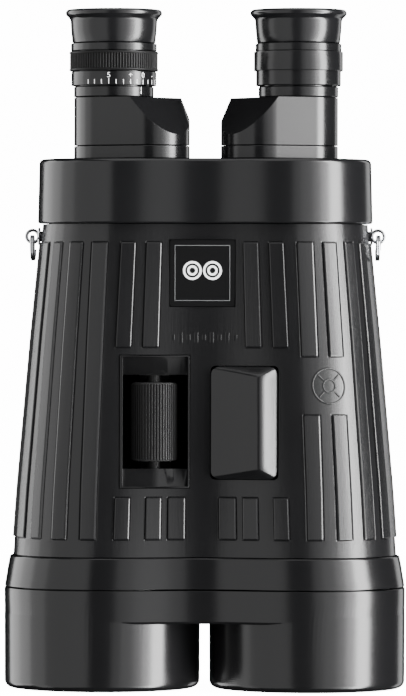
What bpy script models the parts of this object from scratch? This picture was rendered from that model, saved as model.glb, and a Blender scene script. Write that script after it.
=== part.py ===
"""Large stabilised binoculars, standing on their objective hoods with the eyepieces up.

Origin: middle of the footprint, on the standing plane. +Z is up, -Y is the side with the
focusing wheel and the button, and +X is to the right of someone looking at that side.
"""
import math

import bmesh
import bpy
from mathutils import Matrix, Vector

MM = 0.001
GAP = 0.3 * MM                      # clearance between pieces that touch or slide

# Optical layout
BARREL_X = 41.3 * MM                # objective axes
TURRET_X = 22.3 * MM                # swivel axes of the eyepiece turrets
TURRET_ARM = 16.8 * MM              # swivel axis to eyepiece axis
REST_SWING = math.radians(26.5)     # the eyepieces stand swung back by this
SIDES = (("left", -1), ("right", 1))

# Heights
WEB_BOTTOM = 27.0 * MM
HOOD_TOP = 40.6 * MM
COLLAR_TOP = 53.3 * MM
LOWER_RIB_BOTTOM = 60.7 * MM
LOWER_RIB_TOP = 77.4 * MM
BENCH_BOTTOM = 135.0 * MM
BENCH_TOP = 139.0 * MM
GIMBAL_Z = 154.5 * MM
LUG_Z = 181.5 * MM
BODY_TOP = 186.6 * MM
HEAD_TOP = 212.5 * MM
TURRET_SEAM = 218.3 * MM
TURRET_TOP = 237.5 * MM
SCALE_BOTTOM = 242.1 * MM
GRIP_BOTTOM = 248.0 * MM
SEAT_BOTTOM = 256.2 * MM
EYECUP_BOTTOM = 259.4 * MM
EYECUP_TOP = 273.2 * MM

# Housing: height, lobe centre, lobe radius, depth of the valley between the lobes
BODY_SECTIONS = tuple(tuple(value * MM for value in row) for row in (
    (53.3, 40.5, 36.7, 6.5),
    (80.0, 39.5, 35.8, 5.0),
    (140.0, 36.5, 33.5, 3.2),
    (186.6, 34.0, 31.4, 2.5),
))
WALL = 2.6 * MM
RIB_HEIGHT = 0.75 * MM
RIB_BEVEL = 0.3 * MM

# Focusing wheel, its bezel, and the stabiliser button, all on the front
WHEEL_X, WHEEL_Y = -19.4 * MM, -24.3 * MM
WHEEL_RADIUS = 9.3 * MM
WHEEL_BOTTOM, WHEEL_TOP = 91.8 * MM, 123.1 * MM
SHAFT_RADIUS = 2.5 * MM
BEZEL_LEFT, BEZEL_RIGHT = -32.5 * MM, -5.1 * MM
BEZEL_BOTTOM, BEZEL_TOP = 81.3 * MM, 133.9 * MM
BUTTON_LEFT, BUTTON_RIDGE, BUTTON_RIGHT = 3.6 * MM, 22.9 * MM, 29.9 * MM
BUTTON_BOTTOM, BUTTON_TOP = 84.8 * MM, 129.6 * MM

# Stabiliser
PRISM = 17.0 * MM                   # leg of every right-angle prism
PRISM_BOTTOM = 158.3 * MM
CARRIER_BOTTOM, CARRIER_TOP = 151.0 * MM, 158.0 * MM
PIN_RADIUS = 1.5 * MM
LOCK_Y = -19.5 * MM
LEVER_Y, LEVER_Z = -4.0 * MM, 125.5 * MM

# Turrets
TURRET_RADIUS = 16.0 * MM
SPINDLE_RADIUS = 11.5 * MM
GEAR_TEETH = 36                     # on the full circle; pitch radius equals TURRET_X
GEAR_BACKLASH = 0.45 * MM
TURRET_CUTS = (                     # slanted cuts on the inner end: direction from the front
    (math.radians(46), 222.5 * MM, 0.77),   # towards the inside, lowest height, lean
    (math.radians(88), 228.4 * MM, 0.40),
)
PRISM_APERTURE = 14.0 * MM

STRAP_EYE_X = 69.6 * MM

FINISHES = {                        # colour, roughness, metallic
    "armour": ((0.018, 0.018, 0.02, 1), 0.45, 0.0),
    "shell": ((0.012, 0.012, 0.013, 1), 0.3, 0.0),
    "rubber": ((0.02, 0.02, 0.02, 1), 0.6, 0.0),
    "black_metal": ((0.015, 0.015, 0.016, 1), 0.35, 0.6),
    "aluminium": ((0.55, 0.56, 0.58, 1), 0.35, 1.0),
    "steel": ((0.5, 0.5, 0.5, 1), 0.3, 1.0),
    "chrome": ((0.75, 0.76, 0.78, 1), 0.12, 1.0),
    "brass": ((0.6, 0.45, 0.16, 1), 0.3, 1.0),
    "glass": ((0.35, 0.45, 0.5, 1), 0.05, 0.0),
}


def new_collection(name):
    collection = bpy.data.collections.new(name)
    bpy.context.scene.collection.children.link(collection)
    return collection


for old in list(bpy.data.objects):
    bpy.data.objects.remove(old, do_unlink=True)
PARTS = new_collection("binoculars")
CUTTERS = new_collection("cutters")


# ---------------------------------------------------------------- modelling helpers

def give_material(obj, finish):
    colour, roughness, metallic = FINISHES[finish]
    material = bpy.data.materials.new(obj.name)
    material.use_nodes = True
    shader = material.node_tree.nodes["Principled BSDF"]
    shader.inputs["Base Color"].default_value = colour
    shader.inputs["Roughness"].default_value = roughness
    shader.inputs["Metallic"].default_value = metallic
    obj.data.materials.append(material)


def add_object(name, bm, finish=None, place=(0, 0, 0), parent=None):
    """Make an object from bm. Without a finish it is a cutter."""
    mesh = bpy.data.meshes.new(name)
    bm.to_mesh(mesh)
    bm.free()
    obj = bpy.data.objects.new(name, mesh)
    obj.location = place
    obj.parent = parent
    if finish:
        PARTS.objects.link(obj)
        give_material(obj, finish)
    else:
        CUTTERS.objects.link(obj)
        obj.hide_render = True
        obj.display_type = "WIRE"
    return obj


def box_mesh(low, high):
    bm = bmesh.new()
    bmesh.ops.create_cube(bm, size=1.0)
    for vertex in bm.verts:
        for axis in range(3):
            vertex.co[axis] = low[axis] if vertex.co[axis] < 0 else high[axis]
    return bm


def rod_mesh(radius, start, end, axis="Z", centre=(0, 0, 0), segments=24):
    """A cylinder along an axis, from start to end on it."""
    turn = {"X": Matrix.Rotation(math.pi / 2, 4, "Y"), "Y": Matrix.Rotation(-math.pi / 2, 4, "X"),
            "Z": Matrix.Identity(4)}[axis]
    middle = Matrix.Translation((0, 0, (start + end) / 2))
    bm = bmesh.new()
    bmesh.ops.create_cone(bm, cap_ends=True, segments=segments, radius1=radius, radius2=radius,
                          depth=end - start, matrix=Matrix.Translation(centre) @ turn @ middle)
    return bm


def slab_mesh(outline, bottom, top):
    """An outline in the XY plane, run anticlockwise, given a thickness along Z."""
    bm = bmesh.new()
    face = bm.faces.new([bm.verts.new((x, y, bottom)) for x, y in outline])
    grown = bmesh.ops.extrude_face_region(bm, geom=[face])["geom"]
    tops = [item for item in grown if isinstance(item, bmesh.types.BMVert)]
    bmesh.ops.translate(bm, verts=tops, vec=(0, 0, top - bottom))
    bmesh.ops.recalc_face_normals(bm, faces=bm.faces)
    return bm


def combine(obj, tool_mesh, operation, place=(0, 0, 0), parent=None):
    """Join or cut obj with a tool mesh, as a live Boolean modifier."""
    tool = add_object(f"{obj.name}_{operation.lower()}_{len(obj.modifiers)}", tool_mesh,
                      place=place, parent=parent)
    modifier = obj.modifiers.new(operation, "BOOLEAN")
    modifier.operation = operation
    modifier.solver = "EXACT"
    modifier.object = tool
    return obj


def join(obj, tool_mesh, **where):
    return combine(obj, tool_mesh, "UNION", **where)


def cut(obj, tool_mesh, **where):
    return combine(obj, tool_mesh, "DIFFERENCE", **where)


def turned(name, outer, inner, finish, place=(0, 0, 0), parent=None, segments=28):
    """A turned piece: (radius, z) down the outer side, then up the inner side if it is bored."""
    profile = list(outer) + list(inner)
    bm = bmesh.new()
    points = [bm.verts.new((radius, 0, z)) for radius, z in profile]
    for start, end in zip(points, points[1:]):
        bm.edges.new((start, end))
    if inner:
        bm.edges.new((points[-1], points[0]))
    obj = add_object(name, bm, finish, place, parent)
    screw = obj.modifiers.new("Turn", "SCREW")
    screw.steps = segments
    screw.render_steps = segments
    screw.use_merge_vertices = True
    screw.merge_threshold = 0.00001
    screw.use_smooth_shade = True
    return obj


def lobed_point(column, centre, radius, valley):
    """A point on the twin-barrel outline; column counts its four stretches anticlockwise."""
    stretch, part = int(column), column - int(column)
    if stretch in (0, 2):
        across = (2 * part - 1) * (1 if stretch == 0 else -1)
        dip = valley * (0.5 + 0.5 * math.cos(math.pi * across))
        depth = radius - dip
        return centre * across, -depth if stretch == 0 else depth
    side = 1 if stretch == 1 else -1
    angle = math.pi * (part - 0.5)
    return side * (centre + radius * math.cos(angle)), side * radius * math.sin(angle)


def even_columns(valley_steps=6, side_steps=12):
    steps = (valley_steps, side_steps, valley_steps, side_steps)
    return [stretch + step / count for stretch, count in enumerate(steps) for step in range(count)]


def lobed_outline(centre, radius, valley, columns=None):
    return [lobed_point(column, centre, radius, valley) for column in columns or even_columns()]


def body_section(z):
    rows = zip(BODY_SECTIONS, BODY_SECTIONS[1:])
    low, high = next(pair for pair in rows if z <= pair[1][0] or pair[1] is BODY_SECTIONS[-1])
    part = (z - low[0]) / (high[0] - low[0])
    return [low[i] + (high[i] - low[i]) * part for i in (1, 2, 3)]


def add_ring(bm, outline, z):
    return [bm.verts.new((x, y, z)) for x, y in outline]


def bridge(bm, lower, upper):
    """Quads between two rings; returns them in column order."""
    count = len(lower)
    return [bm.faces.new((lower[i], lower[(i + 1) % count], upper[(i + 1) % count], upper[i]))
            for i in range(count)]


def lobed_solid_mesh(rows):
    """A closed loft through (z, centre, radius, valley) rows, bottom to top."""
    bm = bmesh.new()
    rings = [add_ring(bm, lobed_outline(*row[1:]), row[0]) for row in rows]
    for lower, upper in zip(rings, rings[1:]):
        bridge(bm, lower, upper)
    bm.faces.new(reversed(rings[0]))
    bm.faces.new(rings[-1])
    return bm


# ---------------------------------------------------------------- housing

RIB_ANGLES = ((4.5, 15.0), (23.5, 34.2), (42.5, 52.0), (59.0, 70.0))      # from the front ridge
UPPER_SHORT_RIBS = ((0.473, 0.645), (0.77, 0.938))                        # share of the lobe centre
LOWER_SHORT_RIBS = ((0.17, 0.34), (0.41, 0.56), (0.72, 0.87))
BODY_ROWS = [value * MM for value in (53.6, 60.7, 77.4, 110.3, 133.6, 137.2, 179.0, 186.3)]


def rib_columns():
    """Columns of the armour's grid: every rib edge on the front, and a few on the plain back."""
    shares = [edge for rib in UPPER_SHORT_RIBS + LOWER_SHORT_RIBS for edge in rib]
    front = [0.5] + [0.5 * (1 + sign * share) for share in shares for sign in (-1, 1)]
    near_front = [edge / 180 for rib in RIB_ANGLES for edge in rib] + [80 / 180]
    behind = [0.5, 0.61, 0.72, 0.83, 0.94]
    right = [1 + part for part in near_front + behind]
    left = [4 - part for part in near_front + behind]
    back = [2 + step / 6 for step in range(7)]
    return sorted([0.0, 1.0] + front + right + back + left)


def rib_faces(bands, columns, column_low, column_high, row_low, row_high):
    """The faces of one rib, between two columns and two heights of the grid."""
    found = []
    for row, band in enumerate(bands):
        if row_low <= BODY_ROWS[row] + GAP and BODY_ROWS[row + 1] - GAP <= row_high:
            found += [face for column, face in zip(columns, band)
                      if column_low - 1e-6 <= column < column_high - 1e-6]
    return found


def rib_spans():
    """Column and height limits of every raised rib on the armour."""
    low, high = LOWER_RIB_BOTTOM, 179.0 * MM
    for index, (start, end) in enumerate(RIB_ANGLES):
        start, end = start / 180, end / 180
        yield 4 - end, 4 - start, low, high
        yield 1 + start, 1 + end, low, (110.3 * MM if index < 2 else high)
        if index < 2:
            yield 1 + start, 1 + end, 133.6 * MM, high
    for ribs, bottom, top in ((UPPER_SHORT_RIBS, 137.2 * MM, high), (LOWER_SHORT_RIBS, low, LOWER_RIB_TOP)):
        for start, end in ribs:
            yield 0.5 * (1 - end), 0.5 * (1 - start), bottom, top
            yield 0.5 * (1 + start), 0.5 * (1 + end), bottom, top


def make_body_armour():
    """The centre housing: a tapering twin-lobed tube with raised grip ribs."""
    columns = rib_columns()
    bm = bmesh.new()
    outer = [add_ring(bm, lobed_outline(*body_section(z), columns), z) for z in BODY_ROWS]
    bands = [bridge(bm, lower, upper) for lower, upper in zip(outer, outer[1:])]
    inner = []
    for z in (BODY_ROWS[0], BODY_ROWS[4], BODY_ROWS[-1]):
        centre, radius, valley = body_section(z)
        inner.append(add_ring(bm, lobed_outline(centre, radius - WALL, valley, columns), z))
    for lower, upper in zip(inner, inner[1:]):
        bridge(bm, upper, lower)
    bridge(bm, inner[0], outer[0])
    bridge(bm, outer[-1], inner[-1])
    spans = [rib_faces(bands, columns, *span) for span in rib_spans()]
    for faces in spans:
        bmesh.ops.inset_region(bm, faces=faces, thickness=RIB_BEVEL, depth=RIB_HEIGHT,
                               use_even_offset=True)
    body = add_object("body_armour", bm, "armour")
    front = -50 * MM
    cut(body, box_mesh((BEZEL_LEFT - GAP, front, BEZEL_BOTTOM - GAP),
                       (BEZEL_RIGHT + GAP, -20 * MM, BEZEL_TOP + GAP)))
    cut(body, box_mesh((BUTTON_LEFT - GAP, front, BUTTON_BOTTOM - GAP),
                       (BUTTON_RIGHT + 2 * GAP, -20 * MM, BUTTON_TOP + GAP)))
    cut(body, box_mesh((-13.2 * MM, front, 153.2 * MM), (13.2 * MM, -28.6 * MM, 180.1 * MM)))
    for _, side in SIDES:
        cut(body, rod_mesh(2.4 * MM, -8 * MM, 8 * MM, "X", (side * 65 * MM, 0, LUG_Z)))


def make_head_cover():
    """The smooth cap over the prisms, with a bearing hole for each turret."""
    wall = 3.0 * MM
    top_wall = 4.0 * MM
    lower, upper = (32.5 * MM, 34.7 * MM, 2.5 * MM), (32.3 * MM, 34.2 * MM, 2.3 * MM)
    rim = 2.0 * MM
    rows = [(BODY_TOP, lower[0], lower[1] - 0.8 * MM, lower[2]),
            (BODY_TOP + 0.8 * MM, *lower),
            (HEAD_TOP - rim, *upper),
            (HEAD_TOP - 0.6 * MM, upper[0], upper[1] - 0.6 * MM, upper[2]),
            (HEAD_TOP, upper[0], upper[1] - rim, upper[2])]
    head = add_object("head_cover", lobed_solid_mesh(rows), "shell")
    cavity = (32.3 * MM, 34.2 * MM - wall, 2.3 * MM)
    cut(head, lobed_solid_mesh([(BODY_TOP - 1 * MM, *cavity), (HEAD_TOP - top_wall, *cavity)]))
    for _, side in SIDES:
        cut(head, rod_mesh(SPINDLE_RADIUS + GAP, HEAD_TOP - 8 * MM, HEAD_TOP + 1 * MM,
                           centre=(side * TURRET_X, 0, 0), segments=32))


def make_hood():
    """Both objective hoods in one moulding, joined by a web above the gap between them."""
    centre, radius, valley = 41.2 * MM, 39.5 * MM, 7.0 * MM
    fillet = 2.5 * MM
    mouth = 34.5 * MM
    rows = [(WEB_BOTTOM, centre, radius, valley), (38.0 * MM, centre, radius + 0.1 * MM, valley),
            (HOOD_TOP - GAP, centre, radius - 0.2 * MM, valley)]
    hood = add_object("objective_hood", lobed_solid_mesh(rows), "armour")
    for _, side in SIDES:
        where = (side * BARREL_X, 0, 0)
        barrel = rod_mesh(39.3 * MM, 0, WEB_BOTTOM + 4 * MM, centre=where, segments=36)
        lip = [edge for edge in barrel.edges if all(vertex.co.z < 1e-6 for vertex in edge.verts)]
        bmesh.ops.bevel(barrel, geom=lip, offset=fillet, segments=2, profile=0.5, affect="EDGES")
        join(hood, barrel)
    for _, side in SIDES:
        cut(hood, rod_mesh(mouth, -1 * MM, HOOD_TOP + 1 * MM, centre=(side * BARREL_X, 0, 0), segments=32))


def make_collar():
    """The smooth ring between the hood and the housing, bored for both objective cells."""
    rows = [(HOOD_TOP + GAP, 41.1 * MM, 39.3 * MM, 7.0 * MM),
            (COLLAR_TOP - 1.2 * MM, 40.8 * MM, 37.9 * MM, 6.6 * MM),
            (COLLAR_TOP, 40.6 * MM, 37.0 * MM, 6.5 * MM)]
    collar = add_object("objective_collar", lobed_solid_mesh(rows), "armour")
    for _, side in SIDES:
        cut(collar, rod_mesh(33.8 * MM, HOOD_TOP - 1 * MM, COLLAR_TOP + 1 * MM,
                             centre=(side * BARREL_X, 0, 0), segments=32))


def make_objectives():
    for name, side in SIDES:
        where = (side * BARREL_X, 0, 0)
        turned(f"objective_cell_{name}",
               [(33.5 * MM, 52.0 * MM), (33.5 * MM, 30.0 * MM), (30.5 * MM, 28.5 * MM)],
               [(30.5 * MM, 31.0 * MM), (31.7 * MM, 31.0 * MM), (31.7 * MM, 52.0 * MM)],
               "black_metal", where, segments=28)
        turned(f"objective_lens_{name}",
               [(0, 43.5 * MM), (16 * MM, 43.8 * MM), (31.4 * MM, 44.8 * MM), (31.4 * MM, 35.5 * MM),
                (24 * MM, 33.4 * MM), (12 * MM, 31.9 * MM), (0, 31.4 * MM)], [], "glass", where, segments=24)


def front_depth(x, z):
    """Depth of the housing's front surface at x and z, as a negative y."""
    centre, radius, valley = body_section(z)
    return -(radius - valley * (0.5 + 0.5 * math.cos(math.pi * x / centre)))


def make_bezel():
    """The framed opening around the focusing wheel; its end ramps slope down to the wheel."""
    low, high, rim = BEZEL_BOTTOM, BEZEL_TOP, 0.9 * MM
    back = -28.6 * MM
    bm = box_mesh((BEZEL_LEFT, -40 * MM, low), (BEZEL_RIGHT, back, high))
    for vertex in bm.verts:
        if vertex.co.y < back - GAP:
            vertex.co.y = front_depth(vertex.co.x, vertex.co.z) - 0.4 * MM
    bezel = add_object("focus_bezel", bm, "shell")
    left, right = BEZEL_LEFT + rim, BEZEL_RIGHT - rim
    cut(bezel, box_mesh((left, -45 * MM, 88.8 * MM), (right, -20 * MM, 126.2 * MM)))
    for near, far in ((low + rim, 88.9 * MM), (high - rim, 126.1 * MM)):
        ramp = bmesh.new()
        points = [(-45 * MM, near), (-33.5 * MM, near), (-30.2 * MM, far), (-45 * MM, far)]
        face = ramp.faces.new([ramp.verts.new((left, y, z)) for y, z in points])
        grown = bmesh.ops.extrude_face_region(ramp, geom=[face])["geom"]
        tops = [item for item in grown if isinstance(item, bmesh.types.BMVert)]
        bmesh.ops.translate(ramp, verts=tops, vec=(right - left, 0, 0))
        bmesh.ops.recalc_face_normals(ramp, faces=ramp.faces)
        cut(bezel, ramp)


def make_name_plate():
    plate = box_mesh((-12.9 * MM, -30.5 * MM, 153.5 * MM), (12.9 * MM, -28.9 * MM, 179.8 * MM))
    upright = [edge for edge in plate.edges if abs(edge.verts[0].co.y - edge.verts[1].co.y) > MM]
    bmesh.ops.bevel(plate, geom=upright, offset=0.8 * MM, segments=3, profile=0.5, affect="EDGES")
    add_object("name_plate", plate, "shell")


def make_strap_lugs():
    """A chrome stud on each flank with an eye, and the split ring that hangs in it."""
    for name, side in SIDES:
        inner, outer = sorted((side * 62.0 * MM, side * 67.5 * MM))
        lug = add_object(f"strap_lug_{name}", rod_mesh(2.1 * MM, inner, outer, "X", (0, 0, LUG_Z), 16),
                         "chrome")
        inner, outer = sorted((side * 66.6 * MM, side * 67.9 * MM))
        join(lug, rod_mesh(3.6 * MM, inner, outer, "X", (0, 0, LUG_Z), 20))
        join(lug, rod_mesh(3.1 * MM, -1.4 * MM, 1.4 * MM, "Y", (side * STRAP_EYE_X, 0, LUG_Z), 20))
        cut(lug, rod_mesh(1.8 * MM, -5 * MM, 5 * MM, "Y", (side * STRAP_EYE_X, 0, LUG_Z), 16))
        hang = 4.6 * MM
        ring = turned(f"strap_ring_{name}",
                      [(5.2 * MM, 0.9 * MM), (5.2 * MM, -0.9 * MM), (4.8 * MM, -1.25 * MM)],
                      [(4.3 * MM, -1.25 * MM), (4.0 * MM, -0.9 * MM), (4.0 * MM, 0.9 * MM),
                       (4.3 * MM, 1.25 * MM), (4.8 * MM, 1.25 * MM)],
                      "chrome", (side * STRAP_EYE_X, 0, LUG_Z - hang), segments=20)
        ring.rotation_euler = (0, math.pi / 2, 0)


# ---------------------------------------------------------------- optical bench and focusing

def make_bench():
    """The chassis plate across both light paths, with two ears for the release lever."""
    rows = [(z, 36.2 * MM, 30.2 * MM, 3.4 * MM) for z in (BENCH_BOTTOM, BENCH_TOP)]
    bench = add_object("chassis_plate", lobed_solid_mesh(rows), "aluminium")
    for left, right in ((5.0 * MM, 8.0 * MM), (17.0 * MM, 20.0 * MM)):
        ear = box_mesh((left, LEVER_Y - 3.5 * MM, 121.5 * MM),
                       (right, LEVER_Y + 3.5 * MM, BENCH_BOTTOM + 1 * MM))
        join(bench, ear)
    cut(bench, rod_mesh(2.5 * MM, 0, 24 * MM, "X", (0, LEVER_Y, LEVER_Z), 16))
    cut(bench, rod_mesh(1.9 * MM, 130 * MM, 145 * MM, centre=(0, LOCK_Y, 0), segments=16))
    for _, side in SIDES:
        cut(bench, rod_mesh(12.5 * MM, 130 * MM, 145 * MM, centre=(side * BARREL_X, 0, 0)))
        turned(f"baffle_tube_{'left' if side < 0 else 'right'}",
               [(13.9 * MM, BENCH_BOTTOM - GAP), (13.9 * MM, 84 * MM)],
               [(12.5 * MM, 84 * MM), (12.5 * MM, BENCH_BOTTOM - GAP)],
               "black_metal", (side * BARREL_X, 0, 0), segments=24)


def make_focus_drive():
    """Wheel, lead screw, its bracket, the guide rod, and the carriage with two lenses."""
    axis = (WHEEL_X, WHEEL_Y, 0)
    count = 50
    ribs = [((WHEEL_RADIUS - (0.35 * MM if step % 2 else 0)), math.pi * step / count)
            for step in range(2 * count)]
    outline = [(radius * math.cos(angle), radius * math.sin(angle)) for radius, angle in ribs]
    wheel = add_object("focus_wheel", slab_mesh(outline, WHEEL_BOTTOM, WHEEL_TOP), "rubber", axis)
    cut(wheel, rod_mesh(SHAFT_RADIUS + GAP, 80 * MM, 130 * MM, segments=20), place=axis)
    shaft = rod_mesh(SHAFT_RADIUS, 58 * MM, 131 * MM, segments=20)
    add_object("focus_shaft", shaft, "steel", axis)

    bracket = add_object("focus_bracket", box_mesh((-25.4 * MM, -28.2 * MM, 85 * MM),
                                                   (-13.4 * MM, -10.0 * MM, BENCH_BOTTOM - GAP)), "aluminium")
    cut(bracket, box_mesh((-30 * MM, -35 * MM, 88.6 * MM), (-5 * MM, -13.5 * MM, 126.0 * MM)))
    cut(bracket, rod_mesh(SHAFT_RADIUS + GAP, 80 * MM, 132 * MM, segments=20), place=axis)
    cut(bracket, box_mesh((-30 * MM, -35 * MM, 130.5 * MM), (-5 * MM, -20 * MM, 140 * MM)))

    guide_y = 12.0 * MM
    add_object("focus_guide_rod", rod_mesh(2.0 * MM, 57 * MM, BENCH_BOTTOM - GAP, centre=(0, guide_y, 0),
                                           segments=16), "steel")
    low, high = 64 * MM, 69 * MM
    carriage = add_object("focus_carriage", box_mesh((-BARREL_X, -4 * MM, low), (BARREL_X, 4 * MM, high)),
                          "black_metal")
    join(carriage, box_mesh((WHEEL_X - 2.8 * MM, WHEEL_Y, low), (WHEEL_X + 2.8 * MM, 0, high)))
    join(carriage, box_mesh((-4.5 * MM, 0, low), (4.5 * MM, guide_y + 4 * MM, high)))
    join(carriage, rod_mesh(4.1 * MM, low - 2 * MM, high + 2 * MM, centre=axis, segments=20))
    for name, side in SIDES:
        where = (side * BARREL_X, 0, 0)
        join(carriage, rod_mesh(15 * MM, low, high, centre=where))
        cut(carriage, rod_mesh(11.3 * MM, low - 5 * MM, high + 5 * MM, centre=where))
        turned(f"focusing_lens_{name}",
               [(0, 68.2 * MM), (11 * MM, 67.4 * MM), (11 * MM, 65.2 * MM), (0, 64.4 * MM)],
               [], "glass", where, segments=24)
    cut(carriage, rod_mesh(SHAFT_RADIUS + GAP, 50 * MM, 80 * MM, segments=20), place=axis)
    cut(carriage, rod_mesh(2.3 * MM, 50 * MM, 80 * MM, centre=(0, guide_y, 0), segments=16))


# ---------------------------------------------------------------- stabiliser

def make_button():
    """A raised wedge hinged along its left edge; its back lies against the release lever."""
    bottom, top = BUTTON_BOTTOM, BUTTON_TOP
    outline = [(BUTTON_LEFT, -28.4 * MM), (BUTTON_LEFT, -30.9 * MM), (BUTTON_RIDGE - 2 * MM, -36.9 * MM),
               (BUTTON_RIDGE, -37.4 * MM), (BUTTON_RIDGE + 1.6 * MM, -36.9 * MM), (BUTTON_RIGHT, -34.2 * MM),
               (BUTTON_RIGHT, -28.4 * MM)]
    hinge = (BUTTON_LEFT, -29.6 * MM, 0)
    local = [(x - hinge[0], y - hinge[1]) for x, y in reversed(outline)]
    bm = slab_mesh(local, bottom, top)
    slope = 1.8 * MM
    for vertex in bm.verts:
        if vertex.co.y < -2 * MM:
            vertex.co.z += slope if vertex.co.z < (bottom + top) / 2 else -slope
    add_object("stabiliser_button", bm, "armour", hinge)


def make_lock():
    """The bell-crank lever under the bench and the pin that locks the prism carrier."""
    pivot = (0, LEVER_Y, LEVER_Z)
    half = 1.2 * MM
    lever = add_object("release_lever", rod_mesh(2.2 * MM, -3 * MM, 26 * MM, "X", segments=16), "steel",
                       pivot)
    join(lever, box_mesh((-3 * MM, LOCK_Y - LEVER_Y - 3 * MM, -half), (3 * MM, 0, half)), place=pivot)
    join(lever, box_mesh((22 * MM, -2 * MM, -18.5 * MM), (26 * MM, 2 * MM, 0)), place=pivot)
    join(lever, box_mesh((22 * MM, -23.8 * MM, -18.5 * MM), (26 * MM, 2 * MM, -15.5 * MM)), place=pivot)
    cut(lever, rod_mesh(2.1 * MM, -5 * MM, 5 * MM, centre=(0, LOCK_Y - LEVER_Y, 0), segments=16), place=pivot)
    turned("lock_pin",
           [(0, 152.4 * MM), (1.0 * MM, 152.4 * MM), (PIN_RADIUS, 151.6 * MM), (PIN_RADIUS, 123.4 * MM),
                        (3.0 * MM, 123.4 * MM), (3.0 * MM, 122.0 * MM), (0, 122.0 * MM)],
           [], "steel", (0, LOCK_Y, 0), segments=16)


def make_gimbal():
    """The fork on the bench, and the ring that rocks in it about Y and carries pins along X."""
    fork = add_object("gimbal_fork",
                      box_mesh((-5 * MM, -16.5 * MM, BENCH_TOP + GAP), (5 * MM, 16.5 * MM, 158 * MM)),
                      "aluminium")
    cut(fork, box_mesh((-9 * MM, -13 * MM, 142.3 * MM), (9 * MM, 13 * MM, 165 * MM)))
    cut(fork, rod_mesh(PIN_RADIUS + GAP, -20 * MM, 20 * MM, "Y", (0, 0, GIMBAL_Z), 16))
    pivot = (0, 0, GIMBAL_Z)
    half = 2.0 * MM
    ring = add_object("gimbal_ring", box_mesh((-7 * MM, -12.4 * MM, -half), (7 * MM, 12.4 * MM, half)),
                      "steel", pivot)
    join(ring, rod_mesh(PIN_RADIUS, -16 * MM, 16 * MM, "Y", segments=16), place=pivot)
    join(ring, rod_mesh(PIN_RADIUS, -12 * MM, 12 * MM, "X", segments=16), place=pivot)
    cut(ring, box_mesh((-4.4 * MM, -9.5 * MM, -5 * MM), (4.4 * MM, 9.5 * MM, 5 * MM)), place=pivot)


def wedge_mesh(corners, axis, start, end):
    """A prism with a triangular section: corners are the two other coordinates."""
    bm = bmesh.new()
    order = {"X": lambda u, v: (start, u, v), "Z": lambda u, v: (u, v, start)}[axis]
    face = bm.faces.new([bm.verts.new(order(u, v)) for u, v in corners])
    grown = bmesh.ops.extrude_face_region(bm, geom=[face])["geom"]
    tops = [item for item in grown if isinstance(item, bmesh.types.BMVert)]
    bmesh.ops.translate(bm, verts=tops, vec=(end - start, 0, 0) if axis == "X" else (0, 0, end - start))
    bmesh.ops.recalc_face_normals(bm, faces=bm.faces)
    return bm


def make_prism_carrier():
    """The frame that nods on the ring's pins, with three erecting prisms on each side."""
    half_x, back, front = 57 * MM, 23.5 * MM, -22.5 * MM
    plate = box_mesh((-half_x, front, CARRIER_BOTTOM), (half_x, back, CARRIER_TOP))
    upright = [edge for edge in plate.edges if abs(edge.verts[0].co.z - edge.verts[1].co.z) > MM]
    bmesh.ops.bevel(plate, geom=upright, offset=9 * MM, segments=3, profile=0.5, affect="EDGES")
    carrier = add_object("prism_carrier", plate, "aluminium")
    cut(carrier, box_mesh((-8.5 * MM, -17.2 * MM, 140 * MM), (8.5 * MM, 17.2 * MM, 170 * MM)))
    cut(carrier, rod_mesh(PIN_RADIUS + GAP, -12.4 * MM, 12.4 * MM, "X", (0, 0, GIMBAL_Z), 16))
    cut(carrier, rod_mesh(2.2 * MM, 140 * MM, 154 * MM, centre=(0, LOCK_Y, 0), segments=16))
    low, high, half = PRISM_BOTTOM, PRISM_BOTTOM + PRISM, PRISM / 2
    for name, side in SIDES:
        cut(carrier, rod_mesh(7.8 * MM, 140 * MM, 170 * MM, centre=(side * BARREL_X, 0, 0)))
        entry = [side * BARREL_X - half, side * BARREL_X + half]
        leave = [side * TURRET_X - half, side * TURRET_X + half]
        add_object(f"entry_prism_{name}",
                   wedge_mesh([(-half, low), (half, low), (half, high)], "X", *entry), "glass")
        add_object(f"exit_prism_{name}",
                   wedge_mesh([(-half, high), (half, low), (half, high)], "X", *leave), "glass")
        inner, outer = side * (TURRET_X - half - 0.5 * MM), side * (BARREL_X + half + 0.5 * MM)
        middle, near = (inner + outer) / 2, half + 0.5 * MM
        add_object(f"reversing_prism_{name}",
                   wedge_mesh([(inner, near), (outer, near), (middle, near + abs(outer - inner) / 2)],
                              "Z", low, high), "glass")


def make_damper():
    """A copper-coloured vane under each end of the carrier, between the cheeks of a magnet yoke."""
    for name, side in SIDES:
        inner, outer = sorted((side * 53.1 * MM, side * 54.6 * MM))
        add_object(f"damping_vane_{name}",
                   box_mesh((inner, -8 * MM, 143 * MM), (outer, 8 * MM, CARRIER_BOTTOM - GAP)),
                   "brass")
        inner, outer = sorted((side * 50.0 * MM, side * 58.0 * MM))
        yoke = add_object(f"magnet_yoke_{name}",
                          box_mesh((inner, -7 * MM, BENCH_TOP + GAP), (outer, 7 * MM, 148.4 * MM)),
                          "steel")
        inner, outer = sorted((side * 52.2 * MM, side * 55.5 * MM))
        cut(yoke, box_mesh((inner, -9 * MM, 141 * MM), (outer, 9 * MM, 152 * MM)))


# ---------------------------------------------------------------- eyepiece turrets

def stadium(radius, length, steps=12):
    """Outline of a swinging arm: two half circles, the far one at +length on X."""
    near = [math.pi / 2 + math.pi * step / steps for step in range(steps + 1)]
    far = [angle + math.pi for angle in near]
    return ([(radius * math.cos(angle), radius * math.sin(angle)) for angle in near]
            + [(length + radius * math.cos(angle), radius * math.sin(angle)) for angle in far])


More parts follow.
